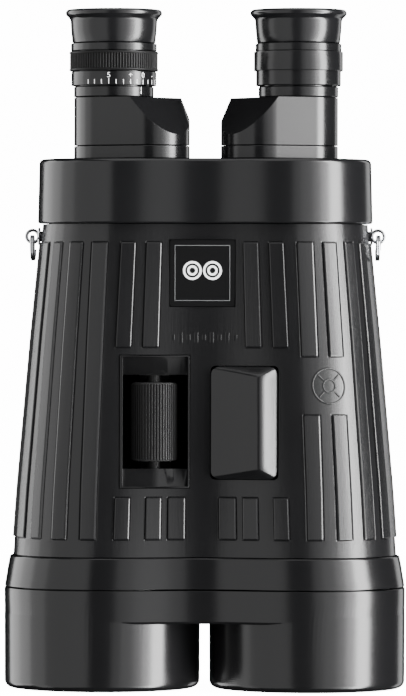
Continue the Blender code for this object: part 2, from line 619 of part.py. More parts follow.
def gear_tooth(centre_angle):
    """Half a tooth gap, one tooth with involute-like flanks, seen from its root to its tip."""
    pitch = TURRET_X
    module = 2 * pitch / GEAR_TEETH
    base = pitch * math.cos(math.radians(20))
    half_tooth = (math.pi * module / 2 - GEAR_BACKLASH) / 2 / pitch
    at_pitch = math.sqrt((pitch / base) ** 2 - 1)
    involute_at_pitch = at_pitch - math.atan(at_pitch)
    flank = []
    for share in (-1.1, -0.5, 0.0, 0.4, 0.75):
        radius = pitch + share * module
        reach = math.sqrt(max((radius / base) ** 2 - 1, 0.0))
        flank.append((radius, half_tooth + involute_at_pitch - (reach - math.atan(reach))))
    rise = [(radius, centre_angle - angle) for radius, angle in flank]
    fall = [(radius, centre_angle + angle) for radius, angle in reversed(flank)]
    return [(radius * math.cos(angle), radius * math.sin(angle)) for radius, angle in rise + fall]


def gear_outline(side):
    """A toothed sector on the side towards the other turret, closed through the swivel axis."""
    pitch_angle = 2 * math.pi / GEAR_TEETH
    centres = [pitch_angle * (step + (0.5 if side > 0 else 0)) for step in range(-2, 7)]
    outline = [(0.0, 0.0)]
    for angle in centres:
        outline += gear_tooth(angle)
    if side < 0:
        return outline
    return [(-x, y) for x, y in reversed(outline)]


def turret_pivot(name, side):
    pivot = bpy.data.objects.new(f"turret_axis_{name}", None)
    pivot.location = (side * TURRET_X, 0, 0)
    PARTS.objects.link(pivot)
    return pivot


def turret_frame(name, side, pivot):
    """An empty on the swivel axis whose +X runs along the arm to the eyepiece."""
    frame = bpy.data.objects.new(f"turret_arm_{name}", None)
    frame.rotation_euler = (0, 0, REST_SWING if side > 0 else math.pi - REST_SWING)
    frame.parent = pivot
    PARTS.objects.link(frame)
    return frame


def slant_mesh(side, direction, height, lean):
    """Everything beyond a leaning plane that starts on the turret's wall at the given height."""
    away = Vector((-side * math.sin(direction), -math.cos(direction), 0))
    normal = (away + Vector((0, 0, lean))).normalized()
    along = Vector((-away.y, away.x, 0))
    turn = Matrix((normal, along, normal.cross(along))).transposed().to_4x4()
    bm = box_mesh((0, -40 * MM, -40 * MM), (60 * MM, 40 * MM, 40 * MM))
    start = away * TURRET_RADIUS + Vector((0, 0, height))
    bmesh.ops.transform(bm, matrix=Matrix.Translation(start) @ turn, verts=bm.verts)
    return bm


def rhomboid_mesh(clearance):
    """The rhomboid prism that carries the beam along the arm, or the pocket around it."""
    half = PRISM_APERTURE / 2
    reach, half_width = half + 2 * clearance, 7.5 * MM + clearance
    bottom = TURRET_SEAM + 2.5 * MM
    low, high = bottom - clearance, bottom + PRISM_APERTURE + clearance
    section = [(-reach - clearance, low), (TURRET_ARM - half + clearance, low),
               (TURRET_ARM + reach + clearance, high), (half - clearance, high)]
    bm = bmesh.new()
    face = bm.faces.new([bm.verts.new((x, -half_width, z)) for x, z in section])
    grown = bmesh.ops.extrude_face_region(bm, geom=[face])["geom"]
    tops = [item for item in grown if isinstance(item, bmesh.types.BMVert)]
    bmesh.ops.translate(bm, verts=tops, vec=(0, 2 * half_width, 0))
    bmesh.ops.recalc_face_normals(bm, faces=bm.faces)
    return bm


def make_turret(name, side):
    pivot = turret_pivot(name, side)
    arm = turret_frame(name, side, pivot)
    outline = stadium(TURRET_RADIUS, TURRET_ARM)
    eye = (TURRET_ARM, 0, 0)

    base = add_object(f"turret_base_{name}", slab_mesh(outline, HEAD_TOP + GAP, TURRET_SEAM - GAP), "shell",
                      parent=arm)
    cut(base, rod_mesh(9.5 * MM, HEAD_TOP - 1 * MM, TURRET_SEAM + 1 * MM), parent=arm)

    housing = add_object(f"turret_housing_{name}", slab_mesh(outline, TURRET_SEAM, TURRET_TOP), "shell",
                         parent=arm)
    cut(housing, rhomboid_mesh(GAP), parent=arm)
    cut(housing, rod_mesh(6.5 * MM, TURRET_SEAM - 1 * MM, TURRET_SEAM + 4 * MM), parent=arm)
    cut(housing, rod_mesh(6.5 * MM, TURRET_TOP - 5 * MM, TURRET_TOP + 1 * MM, centre=eye), parent=arm)
    for turret_cut in TURRET_CUTS:
        cut(housing, slant_mesh(side, *turret_cut), parent=pivot)
    add_object(f"rhomboid_prism_{name}", rhomboid_mesh(0), "glass", parent=arm)

    gear = add_object(f"turret_gear_{name}", rod_mesh(SPINDLE_RADIUS, 200 * MM, HEAD_TOP, segments=32),
                      "brass",
                      parent=pivot)
    join(gear, slab_mesh(gear_outline(side), 203 * MM, 207 * MM), parent=pivot)
    cut(gear, rod_mesh(9.5 * MM, 195 * MM, 220 * MM), parent=pivot)
    return arm, eye


def make_eyepiece(name, side, arm, eye):
    """Tube, rings, seat and rubber cup, stacked on the turret around the ocular cell."""
    sleeve, bore = 14.6 * MM, 12.4 * MM
    inner = sleeve + GAP
    turned(f"eyepiece_tube_{name}",
           [(sleeve, 259.0 * MM), (sleeve, SCALE_BOTTOM), (16.1 * MM, SCALE_BOTTOM),
            (16.1 * MM, TURRET_TOP + GAP)],
           [(bore, TURRET_TOP + GAP), (bore, 259.0 * MM)], "shell", eye, arm, 28)
    scale, grip, seat = 17.15 * MM, 18.0 * MM, 17.35 * MM
    if side < 0:
        turned("dioptre_scale_ring", [(scale, GRIP_BOTTOM), (scale, SCALE_BOTTOM + GAP)],
               [(inner, SCALE_BOTTOM + GAP), (inner, GRIP_BOTTOM)], "shell", eye, arm, 28)
        count = 48
        ribs = [(grip - (0.35 * MM if step % 2 else 0), math.pi * step / count) for step in range(2 * count)]
        outline = [(radius * math.cos(angle), radius * math.sin(angle)) for radius, angle in ribs]
        ring = add_object("dioptre_grip_ring", slab_mesh(outline, GRIP_BOTTOM + GAP, SEAT_BOTTOM), "rubber",
                          eye, arm)
        cut(ring, rod_mesh(inner, GRIP_BOTTOM - 1 * MM, SEAT_BOTTOM + 1 * MM, segments=32), place=eye,
            parent=arm)
        turned("eyecup_seat_left", [(seat, EYECUP_BOTTOM), (seat, SEAT_BOTTOM + GAP)],
               [(inner, SEAT_BOTTOM + GAP), (inner, EYECUP_BOTTOM)], "shell", eye, arm, 28)
    else:
        turned("eyepiece_ring_right",
               [(seat, EYECUP_BOTTOM), (seat, SEAT_BOTTOM), (grip, SEAT_BOTTOM), (grip, GRIP_BOTTOM),
                (scale, GRIP_BOTTOM), (scale, SCALE_BOTTOM + GAP)],
               [(inner, SCALE_BOTTOM + GAP), (inner, EYECUP_BOTTOM)], "shell", eye, arm, 28)
    lip = EYECUP_TOP - 4.2 * MM
    turned(f"eyecup_{name}",
           [(18.6 * MM, EYECUP_TOP), (19.5 * MM, EYECUP_TOP - 1.4 * MM), (19.1 * MM, lip + 0.6 * MM),
            (17.75 * MM, lip), (16.8 * MM, EYECUP_BOTTOM + GAP)],
           [(13.2 * MM, EYECUP_BOTTOM + GAP), (16.4 * MM, EYECUP_TOP - 3 * MM),
            (17.2 * MM, EYECUP_TOP)], "rubber", eye, arm, 28)
    cell_outer, cell_inner = 12.1 * MM, 10.0 * MM
    turned(f"ocular_cell_{name}", [(cell_outer, 258.2 * MM), (cell_outer, 240 * MM)],
           [(cell_inner, 240 * MM), (cell_inner, 258.2 * MM)], "black_metal", eye, arm, 20)
    turned(f"eye_lens_{name}",
           [(0, 257.4 * MM), (5.5 * MM, 256.9 * MM), (9.7 * MM, 255.4 * MM), (9.7 * MM, 252.5 * MM),
                                (0, 251.8 * MM)], [], "glass", eye, arm, 20)


make_hood()
make_collar()
make_objectives()
make_body_armour()
make_head_cover()
make_bezel()
make_name_plate()
make_strap_lugs()
make_bench()
make_focus_drive()
make_button()
make_lock()
make_gimbal()
make_prism_carrier()
make_damper()
for side_name, side_sign in SIDES:
    arm_frame, eye_place = make_turret(side_name, side_sign)
    make_eyepiece(side_name, side_sign, arm_frame, eye_place)
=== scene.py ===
import math

import bmesh
import bpy
from mathutils import Matrix, Vector


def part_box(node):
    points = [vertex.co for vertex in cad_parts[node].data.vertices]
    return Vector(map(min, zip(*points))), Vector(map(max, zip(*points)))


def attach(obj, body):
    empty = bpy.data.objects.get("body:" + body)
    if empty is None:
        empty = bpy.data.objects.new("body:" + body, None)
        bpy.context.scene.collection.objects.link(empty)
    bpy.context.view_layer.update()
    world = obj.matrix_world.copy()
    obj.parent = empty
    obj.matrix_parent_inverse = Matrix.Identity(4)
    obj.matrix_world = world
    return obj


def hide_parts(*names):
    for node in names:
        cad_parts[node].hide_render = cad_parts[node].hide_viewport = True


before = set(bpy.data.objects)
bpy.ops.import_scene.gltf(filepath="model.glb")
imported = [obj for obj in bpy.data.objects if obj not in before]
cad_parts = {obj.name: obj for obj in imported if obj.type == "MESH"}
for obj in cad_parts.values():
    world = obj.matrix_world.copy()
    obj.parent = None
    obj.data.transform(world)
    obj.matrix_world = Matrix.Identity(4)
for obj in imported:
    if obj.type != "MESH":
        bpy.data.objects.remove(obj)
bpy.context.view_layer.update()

# ================================================================ Studio
# A pale floor, tall soft panels on both sides that draw the long highlights down the
# barrels, and a long-lens camera a little above half height.
MM = 0.001
scene = bpy.context.scene


def look_at(obj, target, roll=0.0):
    """Turn obj so that its -Z points at target and its Y is up."""
    away = Vector(target) - obj.location
    obj.rotation_euler = (away.to_track_quat("-Z", "Y").to_matrix().to_4x4()
                          @ Matrix.Rotation(roll, 4, "Z")).to_euler()


camera = bpy.data.objects.new("camera", bpy.data.cameras.new("camera"))
scene.collection.objects.link(camera)
scene.camera = camera
CAMERA_DISTANCE = 2.33
CAMERA_AZIMUTH = math.radians(2.0)
CAMERA_HEIGHT = 0.1603
CAMERA_TARGET = (-0.0008, 0, 0.1366)
camera.location = (CAMERA_DISTANCE * math.sin(CAMERA_AZIMUTH),
                   -CAMERA_DISTANCE * math.cos(CAMERA_AZIMUTH), CAMERA_HEIGHT)
camera.data.lens = 299.0
camera.data.sensor_width = 36.0
camera.data.clip_end = 1000.0
look_at(camera, CAMERA_TARGET, math.radians(0.1))
PANEL_CENTRE, PANEL_REACH = 0.16, 1.3


def soft_panel(name, start, end, radiance, height):
    """A tall panel between two azimuths, in degrees to the right of the camera."""
    angle = math.radians((start + end) / 2) + CAMERA_AZIMUTH
    light = bpy.data.lights.new(name, "AREA")
    light.shape = "RECTANGLE"
    light.size = 2 * PANEL_REACH * math.tan(math.radians(abs(end - start)) / 2)
    light.size_y = height
    light.energy = radiance * math.pi * light.size * light.size_y
    panel = bpy.data.objects.new(name, light)
    panel.location = (PANEL_REACH * math.sin(angle), -PANEL_REACH * math.cos(angle), PANEL_CENTRE)
    scene.collection.objects.link(panel)
    look_at(panel, (0, 0, PANEL_CENTRE))


TALL, LOW = 2.6, 1.5                            # panel heights
PANELS = (("left_fill", -17, -70, 1.0, TALL), ("left_turn", -70, -92, 1.7, TALL),
          ("left_side", -92, -112, 3.0, LOW), ("left_rim", -112, -136, 3.8, LOW),
          ("right_edge", 9, 20, 0.85, TALL), ("right_fill", 20, 36, 1.5, TALL),
          ("right_rise", 36, 47, 3.0, TALL), ("right_glow", 47, 59, 8.0, TALL),
          ("right_key", 59, 77, 30.0, TALL), ("right_rim", 134, 150, 1.6, LOW))
for panel_name, first, last, strength, tall in PANELS:
    soft_panel(panel_name, first, last, strength, tall)
overhead = bpy.data.lights.new("overhead", "AREA")
overhead.size = 1.5
overhead.energy = 1.3 * math.pi * overhead.size ** 2
overhead_panel = bpy.data.objects.new("overhead", overhead)
overhead_panel.location = (0.1, -0.3, 1.7)
scene.collection.objects.link(overhead_panel)
look_at(overhead_panel, (0, 0, 0.15))


def node_after(tree, kind, **inputs):
    """A node of a kind, with values or links for its named inputs."""
    node = tree.nodes.new(kind)
    for label, value in inputs.items():
        socket = node.inputs[label.replace("_", " ")]
        if isinstance(value, bpy.types.NodeSocket):
            tree.links.new(value, socket)
        else:
            socket.default_value = value
    return node


def sky_light(colour, strength):
    """One plain background of the world."""
    return node_after(air, "ShaderNodeBackground", Color=(*colour, 1),
                      Strength=strength).outputs["Background"]


def pick(rays, otherwise, chosen):
    """Show one background to a kind of ray and the other to the rest."""
    mix = node_after(air, "ShaderNodeMixShader", Fac=rays)
    air.links.new(otherwise, mix.inputs[1])
    air.links.new(chosen, mix.inputs[2])
    return mix.outputs["Shader"]


world = bpy.data.worlds.new("studio")
scene.world = world
world.use_nodes = True
air = world.node_tree
air.nodes.clear()
light_path = air.nodes.new("ShaderNodeLightPath").outputs
PALE, DIM = (1.0, 1.0, 1.0), (0.01, 0.01, 0.011)
BACKDROP_GLOW, FLOOR_GLOW = 15.0, 14.2          # both read as plain white to the camera
lit = pick(light_path["Is Glossy Ray"], sky_light(PALE, 1.0), sky_light(DIM, 1.0))
seen = pick(light_path["Is Camera Ray"], lit, sky_light(PALE, BACKDROP_GLOW))
node_after(air, "ShaderNodeOutputWorld", Surface=seen)


def surface(name, dark, light, roughness, spread=0.05, grain=900.0, relief=0.03, metallic=0.0, coat=0.0,
            stretch=(1, 1, 1), specular=0.5):
    """A finish whose colour, gloss and relief all vary with a fine grain and a slow drift."""
    material = bpy.data.materials.new(name)
    material.use_nodes = True
    tree = material.node_tree
    shader = tree.nodes["Principled BSDF"]
    for label, value in (("Metallic", metallic), ("Coat Weight", coat), ("Coat Roughness", 0.08),
                         ("Specular IOR Level", specular)):
        shader.inputs[label].default_value = value
    place = tree.nodes.new("ShaderNodeTexCoord").outputs["Object"]
    stretched = node_after(tree, "ShaderNodeMapping", Vector=place, Scale=stretch).outputs["Vector"]
    fine = node_after(tree, "ShaderNodeTexNoise", Vector=stretched, Scale=grain, Detail=3.0, Roughness=0.6)
    slow = node_after(tree, "ShaderNodeTexNoise", Vector=place, Scale=14.0, Detail=2.0)
    colours = tree.nodes.new("ShaderNodeMix")
    colours.data_type = "RGBA"
    colours.inputs[6].default_value = (*dark, 1)
    colours.inputs[7].default_value = (*light, 1)
    tree.links.new(slow.outputs["Fac"], colours.inputs[0])
    tree.links.new(colours.outputs[2], shader.inputs["Base Color"])
    both = node_after(tree, "ShaderNodeMath")
    tree.links.new(fine.outputs["Fac"], both.inputs[0])
    tree.links.new(slow.outputs["Fac"], both.inputs[1])
    gloss = node_after(tree, "ShaderNodeMapRange", Value=both.outputs["Value"], From_Min=0.6, From_Max=1.4,
                       To_Min=roughness - spread, To_Max=roughness + spread)
    tree.links.new(gloss.outputs["Result"], shader.inputs["Roughness"])
    bump = node_after(tree, "ShaderNodeBump", Height=fine.outputs["Fac"], Strength=relief, Distance=0.0004)
    tree.links.new(bump.outputs["Normal"], shader.inputs["Normal"])
    return material


floor_mesh = bpy.data.meshes.new("floor")
FLOOR_HALF, FLOOR_Z = 400, -0.0004
floor_mesh.from_pydata([(x * FLOOR_HALF, y * FLOOR_HALF, FLOOR_Z)
                        for x, y in ((-1, -1), (1, -1), (1, 1), (-1, 1))], [], [(0, 1, 2, 3)])
floor = bpy.data.objects.new("floor", floor_mesh)
scene.collection.objects.link(floor)
pale_floor = surface("pale_floor", (0.86, 0.86, 0.87), (0.9, 0.9, 0.9), 0.9, grain=60.0, relief=0.01,
                     specular=0.0)
floor_shader = pale_floor.node_tree.nodes["Principled BSDF"]
floor_shader.inputs["Emission Color"].default_value = (1, 1, 1, 1)
floor_shader.inputs["Emission Strength"].default_value = FLOOR_GLOW
floor_mesh.materials.append(pale_floor)
floor.visible_glossy = floor.visible_diffuse = floor.visible_transmission = floor.visible_shadow = False

# ================================================================ Housing armour
# One long rubber moulding over a light alloy shell. It tapers from two full barrels to the
# narrower head, with a shallow valley between the lobes, and raised ribs give the hands grip.


def mm(*points):
    """Points given in millimetres, as tuples in metres."""
    return [tuple(value * MM for value in point) for point in points]


SECTIONS = mm((53.3, 40.5, 36.7, 6.5), (80.0, 39.5, 35.8, 5.0), (140.0, 36.5, 33.5, 3.2),
              (186.6, 34.0, 31.4, 2.5))         # height, lobe centre, radius, valley
RIB_RISE = 0.75 * MM
RIB_GROOVE, RIB_BEVEL = -0.2, 0.78              # as shares of the rise
EDGE = 0.3 * MM                                 # width of a rib's groove and of its bevel
EDGE_COLUMNS = (-0.45, -0.12, 0.12, 0.45)       # mesh lines beside every rib edge, in millimetres
RIB_TOP, RIB_FOOT = 179.0 * MM, 60.7 * MM
SHORT_FOOT, SHORT_TOP = 137.2 * MM, 77.4 * MM
MARK_LOW, MARK_HIGH = 110.3 * MM, 133.6 * MM
WALL = 2.6 * MM
LONG_RIBS = ((3.0, 12.9, 5.8, 17.4), (22.2, 32.7, 24.7, 35.6), (41.9, 51.3, 43.1, 52.6),
             (58.4, 70.5, 59.0, 69.5), (83.5, 96.5, 83.5, 96.5))      # degrees at the foot and the top
BACK_RIBS = ((0.14, 0.30), (0.46, 0.62), (0.78, 0.93))
UPPER_RIBS = ((0.473, 0.645), (0.77, 0.938))
LOWER_RIBS = ((0.17, 0.34), (0.41, 0.56), (0.72, 0.87))
STRETCH_LENGTH = 76 * MM                        # length of one stretch of columns, about
armour = surface("rubber_armour", (0.004, 0.004, 0.0043), (0.0062, 0.0062, 0.0066), 0.23, 0.05, 2600.0, 0.07,
                 stretch=(1, 1, 0.03))


def body_section(z):
    """Lobe centre, radius and valley of the armour at a height."""
    for low, high in zip(SECTIONS, SECTIONS[1:]):
        if z <= high[0]:
            break
    part = (z - low[0]) / (high[0] - low[0])
    return [low[i] + (high[i] - low[i]) * part for i in (1, 2, 3)]


def lobed_point(column, centre, radius, valley):
    """A point on the twin-lobed outline, with its outward normal. Columns 0-1 are the front."""
    column %= 4
    stretch, part = int(column), column - int(column)
    if stretch in (0, 2):
        way = 1 if stretch == 0 else -1
        across = (2 * part - 1) * way
        depth = radius - valley * (0.5 + 0.5 * math.cos(math.pi * across))
        slope = valley * 0.5 * math.pi / centre * math.sin(math.pi * across)
        normal = Vector((-slope, -way, 0)).normalized()
        return Vector((centre * across, -way * depth, 0)), normal
    side = 1 if stretch == 1 else -1
    angle = math.pi * (part - 0.5)
    normal = Vector((side * math.cos(angle), side * math.sin(angle), 0))
    return Vector((side * centre, 0, 0)) + normal * radius, normal


def on_body(column, z, lift=0.0):
    """A point on the armour's outline at a height, lifted off it along the normal."""
    point, normal = lobed_point(column, *body_section(z))
    return point + normal * lift + Vector((0, 0, z))


def rib_list():
    """Every rib as (its two columns at the foot, its two columns at the top, low z, high z)."""
    ribs = []
    for index, degrees in enumerate(LONG_RIBS):
        a_low, b_low, a_high, b_high = (value / 180 for value in degrees)
        ribs.append((4 - b_low, 4 - a_low, 4 - b_high, 4 - a_high, RIB_FOOT, RIB_TOP))
        right = (1 + a_low, 1 + b_low, 1 + a_high, 1 + b_high)
        if index < 2:
            ribs += [(*right, RIB_FOOT, MARK_LOW), (*right, MARK_HIGH, RIB_TOP)]
        else:
            ribs.append((*right, RIB_FOOT, RIB_TOP))
        if degrees[1] < 90:
            ribs.append((3 + a_low, 3 + b_low, 3 + a_high, 3 + b_high, RIB_FOOT, RIB_TOP))
            ribs.append((2 - b_low, 2 - a_low, 2 - b_high, 2 - a_high, RIB_FOOT, RIB_TOP))
    for shares, middle, low, high in ((UPPER_RIBS, 0.5, SHORT_FOOT, RIB_TOP),
                                      (LOWER_RIBS, 0.5, RIB_FOOT, SHORT_TOP),
                                      (BACK_RIBS, 2.5, RIB_FOOT, RIB_TOP)):
        for start, end in shares:
            for left, right in ((-end, -start), (start, end)):
                pair = (middle + 0.5 * left, middle + 0.5 * right)
                ribs.append((*pair, *pair, low, high))
    return ribs


def column_at(foot, top, z):
    """The column of a leaning rib edge at a height."""
    part = (z - RIB_FOOT) / (RIB_TOP - RIB_FOOT)
    return foot + (top - foot) * part


def step_up(distance):
    """A rib's height, as a share, by distance inside its edge: groove, steep wall, bevel, top."""
    if distance < -EDGE:
        return 0.0
    if distance < 0:
        return RIB_GROOVE
    return RIB_BEVEL if distance < EDGE else 1.0


def mesh_object(name, bm, material, smooth=30):
    """Freeze a bmesh as an object with one finish; edges over smooth degrees stay sharp."""
    mesh = bpy.data.meshes.new(name)
    bm.to_mesh(mesh)
    bm.free()
    mesh.materials.append(material)
    mesh.shade_smooth()
    mesh.set_sharp_from_angle(angle=math.radians(smooth))
    obj = bpy.data.objects.new(name, mesh)
    scene.collection.objects.link(obj)
    return obj


def add_mesh(target, source):
    """Move the mesh of one bmesh into another."""
    mesh = bpy.data.meshes.new("added")
    source.to_mesh(mesh)
    source.free()
    target.from_mesh(mesh)
    bpy.data.meshes.remove(mesh)


def loop_skin(bm, rings):
    """Quads between closed rings of vertices, each list bottom to top."""
    for lower, upper in zip(rings, rings[1:]):
        for i in range(len(lower)):
            j = (i + 1) % len(lower)
            bm.faces.new((lower[i], lower[j], upper[j], upper[i]))


def apply_modifiers(obj):
    """Freeze an object's modifiers into its mesh."""
    graph = bpy.context.evaluated_depsgraph_get()
    old = obj.data
    obj.data = bpy.data.meshes.new_from_object(obj.evaluated_get(graph))
    obj.modifiers.clear()
    bpy.data.meshes.remove(old)


def carve(obj, cutters, operation="DIFFERENCE"):
    """Boolean obj with each cutter mesh in turn, then freeze it."""
    tools = []
    for index, cutter in enumerate(cutters):
        mesh = bpy.data.meshes.new("tool")
        cutter.to_mesh(mesh)
        cutter.free()
        tool = bpy.data.objects.new("tool", mesh)
        scene.collection.objects.link(tool)
        tools.append(tool)
        boolean = obj.modifiers.new(f"cut_{index}", "BOOLEAN")
        boolean.operation = operation
        boolean.object = tool
    bpy.context.view_layer.update()
    apply_modifiers(obj)
    for tool in tools:
        bpy.data.objects.remove(tool)


def block(low, high):
    """A box between two corners."""
    bm = bmesh.new()
    bmesh.ops.create_cube(bm, size=1.0)
    for vertex in bm.verts:
        vertex.co = Vector(low[i] if vertex.co[i] < 0 else high[i] for i in range(3))
    return bm


def round_corners(bm, radius):
    """Round the four edges of a block that run from front to back."""
    edges = [edge for edge in bm.edges if abs(edge.verts[0].co.y - edge.verts[1].co.y) > 1e-6]
    bmesh.ops.bevel(bm, geom=edges, offset=radius, segments=5, profile=0.5, affect="EDGES")
    return bm


WIDEST_COLUMN, CLEAR_COLUMN = 0.035, 0.012      # largest and smallest spacing of mesh lines


def mesh_columns(ribs):
    """Mesh lines as (column at foot, column at top): four at every rib edge, and an even fill."""
    edges = set()
    for a_low, b_low, a_high, b_high, *_ in ribs:
        for foot, top in ((a_low, a_high), (b_low, b_high)):
            edges.add((round((foot + top) / 2, 4), round(foot, 5), round(top, 5)))
    lines = [(foot + shift * MM / STRETCH_LENGTH, top + shift * MM / STRETCH_LENGTH)
             for _, foot, top in sorted(edges) for shift in EDGE_COLUMNS]
    plain = [0.0, 1.0, 2.0, 3.0] + [stretch + step / 24 for stretch in (1, 2, 3) for step in range(1, 24)]
    lines += [(value, value) for value in plain
              if all(abs(value - (foot + top) / 2) > CLEAR_COLUMN for foot, top in lines)]
    lines.sort(key=lambda pair: pair[0] + pair[1])
    filled = []
    for here, there in zip(lines, lines[1:] + [(4.0 + lines[0][0], 4.0 + lines[0][1])]):
        count = max(1, math.ceil((there[0] - here[0]) / WIDEST_COLUMN))
        filled += [(here[0] + (there[0] - here[0]) * k / count, here[1] + (there[1] - here[1]) * k / count)
                   for k in range(count)]
    return filled


def mesh_levels():
    """Heights of the armour's mesh rings: four at every rib end, and an even fill."""
    levels = [53.6 * MM, 53.9 * MM]
    for edge in (RIB_FOOT, SHORT_TOP, MARK_LOW, MARK_HIGH, SHORT_FOOT, RIB_TOP):
        levels += [edge + shift * MM for shift in EDGE_COLUMNS]
    levels += [186.0 * MM, 186.3 * MM]
    rows = []
    for here, there in zip(levels, levels[1:]):
        count = max(1, math.ceil((there - here) / (4 * MM)))
        rows += [here + (there - here) * k / count for k in range(count)]
    return rows + [levels[-1]]


def rib_rise(ribs, column, z):
    """How far the ribs lift the armour at a spot, as a share of their full rise."""
    rise = 0.0
    for a_low, b_low, a_high, b_high, bottom, top in ribs:
        if bottom - MM < z < top + MM:
            a, b = column_at(a_low, a_high, z), column_at(b_low, b_high, z)
            if a - 0.02 < column % 4 < b + 0.02:
                across = min((column % 4 - a) * STRETCH_LENGTH, (b - column % 4) * STRETCH_LENGTH)
                rise = step_up(min(across, z - bottom, top - z)) or rise
    return rise


def pocket(node, gap, right_gap, back, corner=0.0):
    """A cutter that opens the armour in front of a node, with a clearance gap round it."""
    low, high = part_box(node)
    bm = block((low[0] - gap, -50 * MM, low[2] - gap), (high[0] + right_gap, back, high[2] + gap))
    return round_corners(bm, corner) if corner else bm


def make_armour():
    ribs = rib_list()
    filled, rows = mesh_columns(ribs), mesh_levels()
    bm = bmesh.new()
    rings = []
    for z in rows:
        columns = [column_at(foot, top, z) for foot, top in filled]
        rings.append([bm.verts.new(on_body(column, z, rib_rise(ribs, column, z) * RIB_RISE))
                      for column in columns])
    inner = [[bm.verts.new(on_body(column_at(foot, top, z), z, -WALL)) for foot, top in filled]
             for z in (rows[0], 100 * MM, 140 * MM, rows[-1])]
    loop_skin(bm, rings)
    loop_skin(bm, list(reversed(inner)))
    loop_skin(bm, [inner[0], rings[0]])
    loop_skin(bm, [rings[-1], inner[-1]])
    bmesh.ops.recalc_face_normals(bm, faces=bm.faces)
    shell = mesh_object("armour_shell", bm, armour, 15)
    gap = 0.3 * MM
    carve(shell, [pocket("focus_bezel", gap, gap, -20 * MM),
                  pocket("stabiliser_button", gap, 2 * gap, -20 * MM, 2.0 * MM),
                  pocket("name_plate", gap, gap, -28.6 * MM)])
    shell.data.set_sharp_from_angle(angle=math.radians(15))
    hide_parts("body_armour")
    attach(shell, "housing")


make_armour()

# ================================================================ Objective hood and collar
# A single rubber moulding covers both objective ends: two round barrels joined by a web that
# stops short of the mouths. A smooth tapering collar carries it up to the ribbed armour.
SIDES = (("left", -1), ("right", 1))
BARREL_X = 41.3 * MM
MOUTH = 34.5 * MM
SOFT_EDGE = math.radians(28)                    # edges sharper than this stay crisp on mouldings
hood_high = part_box("objective_hood")[1]
collar_low, collar_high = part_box("objective_collar")
smooth_rubber = surface("smooth_rubber", (0.0038, 0.0038, 0.0041), (0.0055, 0.0055, 0.0058), 0.18, 0.04,
                        2200.0, 0.07, stretch=(0.03, 0.03, 1))
flocked_black = surface("flocked_black", (0.003, 0.003, 0.003), (0.006, 0.006, 0.006), 0.7, 0.1, 3000.0, 0.2)


def lobed_loft(rows, valley_steps=64, side_steps=72):
    """A closed loft through (z, lobe centre, radius, valley) rows, bottom to top."""
    counts = (valley_steps, side_steps, valley_steps, side_steps)
    columns = [stretch + step / count for stretch, count in enumerate(counts) for step in range(count)]
    bm = bmesh.new()
    rings = [[bm.verts.new(lobed_point(column, *row[1:])[0] + Vector((0, 0, row[0]))) for column in columns]
             for row in rows]
    loop_skin(bm, rings)
    bm.faces.new(reversed(rings[0]))
    bm.faces.new(rings[-1])
    return bm


def round_rows(z, centre, radius, valley, size, way, steps=6):
    """Rows that round a lofted edge at height z: way is 1 at a top edge and -1 at a bottom one."""
    turns = [math.pi / 2 * step / steps for step in range(steps + 1)]
    rows = [(z - way * size * (1 - math.sin(turn)), centre, radius - size * (1 - math.cos(turn)), valley)
            for turn in turns]
    return rows if way > 0 else list(reversed(rows))


def turned_mesh(profile, centre=(0, 0), steps=128):
    """A closed profile of (radius, z) points turned about a vertical axis; radius 0 makes a pole."""
    bm = bmesh.new()
    rings = []
    for radius, z in profile:
        if radius < 1e-7:
            rings.append([bm.verts.new((centre[0], centre[1], z))])
        else:
            rings.append([bm.verts.new((centre[0] + radius * math.cos(2 * math.pi * i / steps),
                                        centre[1] + radius * math.sin(2 * math.pi * i / steps), z))
                          for i in range(steps)])
    pairs = list(zip(rings, rings[1:]))
    if profile[0][0] > 1e-7:
        pairs.append((rings[-1], rings[0]))
    for upper, lower in pairs:
        for i in range(steps):
            j = (i + 1) % steps
            corners = list(dict.fromkeys((lower[i % len(lower)], lower[j % len(lower)],
                                          upper[j % len(upper)], upper[i % len(upper)])))
            if len(corners) > 2:
                bm.faces.new(corners)
    bmesh.ops.recalc_face_normals(bm, faces=bm.faces)
    return bm


def softened(profile, size, steps=3):
    """Round every corner of a closed profile by about size."""
    rounded = []
    count = len(profile)
    for index, corner in enumerate(profile):
        before, after = Vector(profile[index - 1]), Vector(profile[(index + 1) % count])
        corner = Vector(corner)
        start = corner + (before - corner) * min(0.45, size / max((before - corner).length, 1e-9))
        end = corner + (after - corner) * min(0.45, size / max((after - corner).length, 1e-9))
        for step in range(steps + 1):
            part = step / steps
            rounded.append(tuple((1 - part) ** 2 * start + 2 * part * (1 - part) * corner + part ** 2 * end))
    return rounded


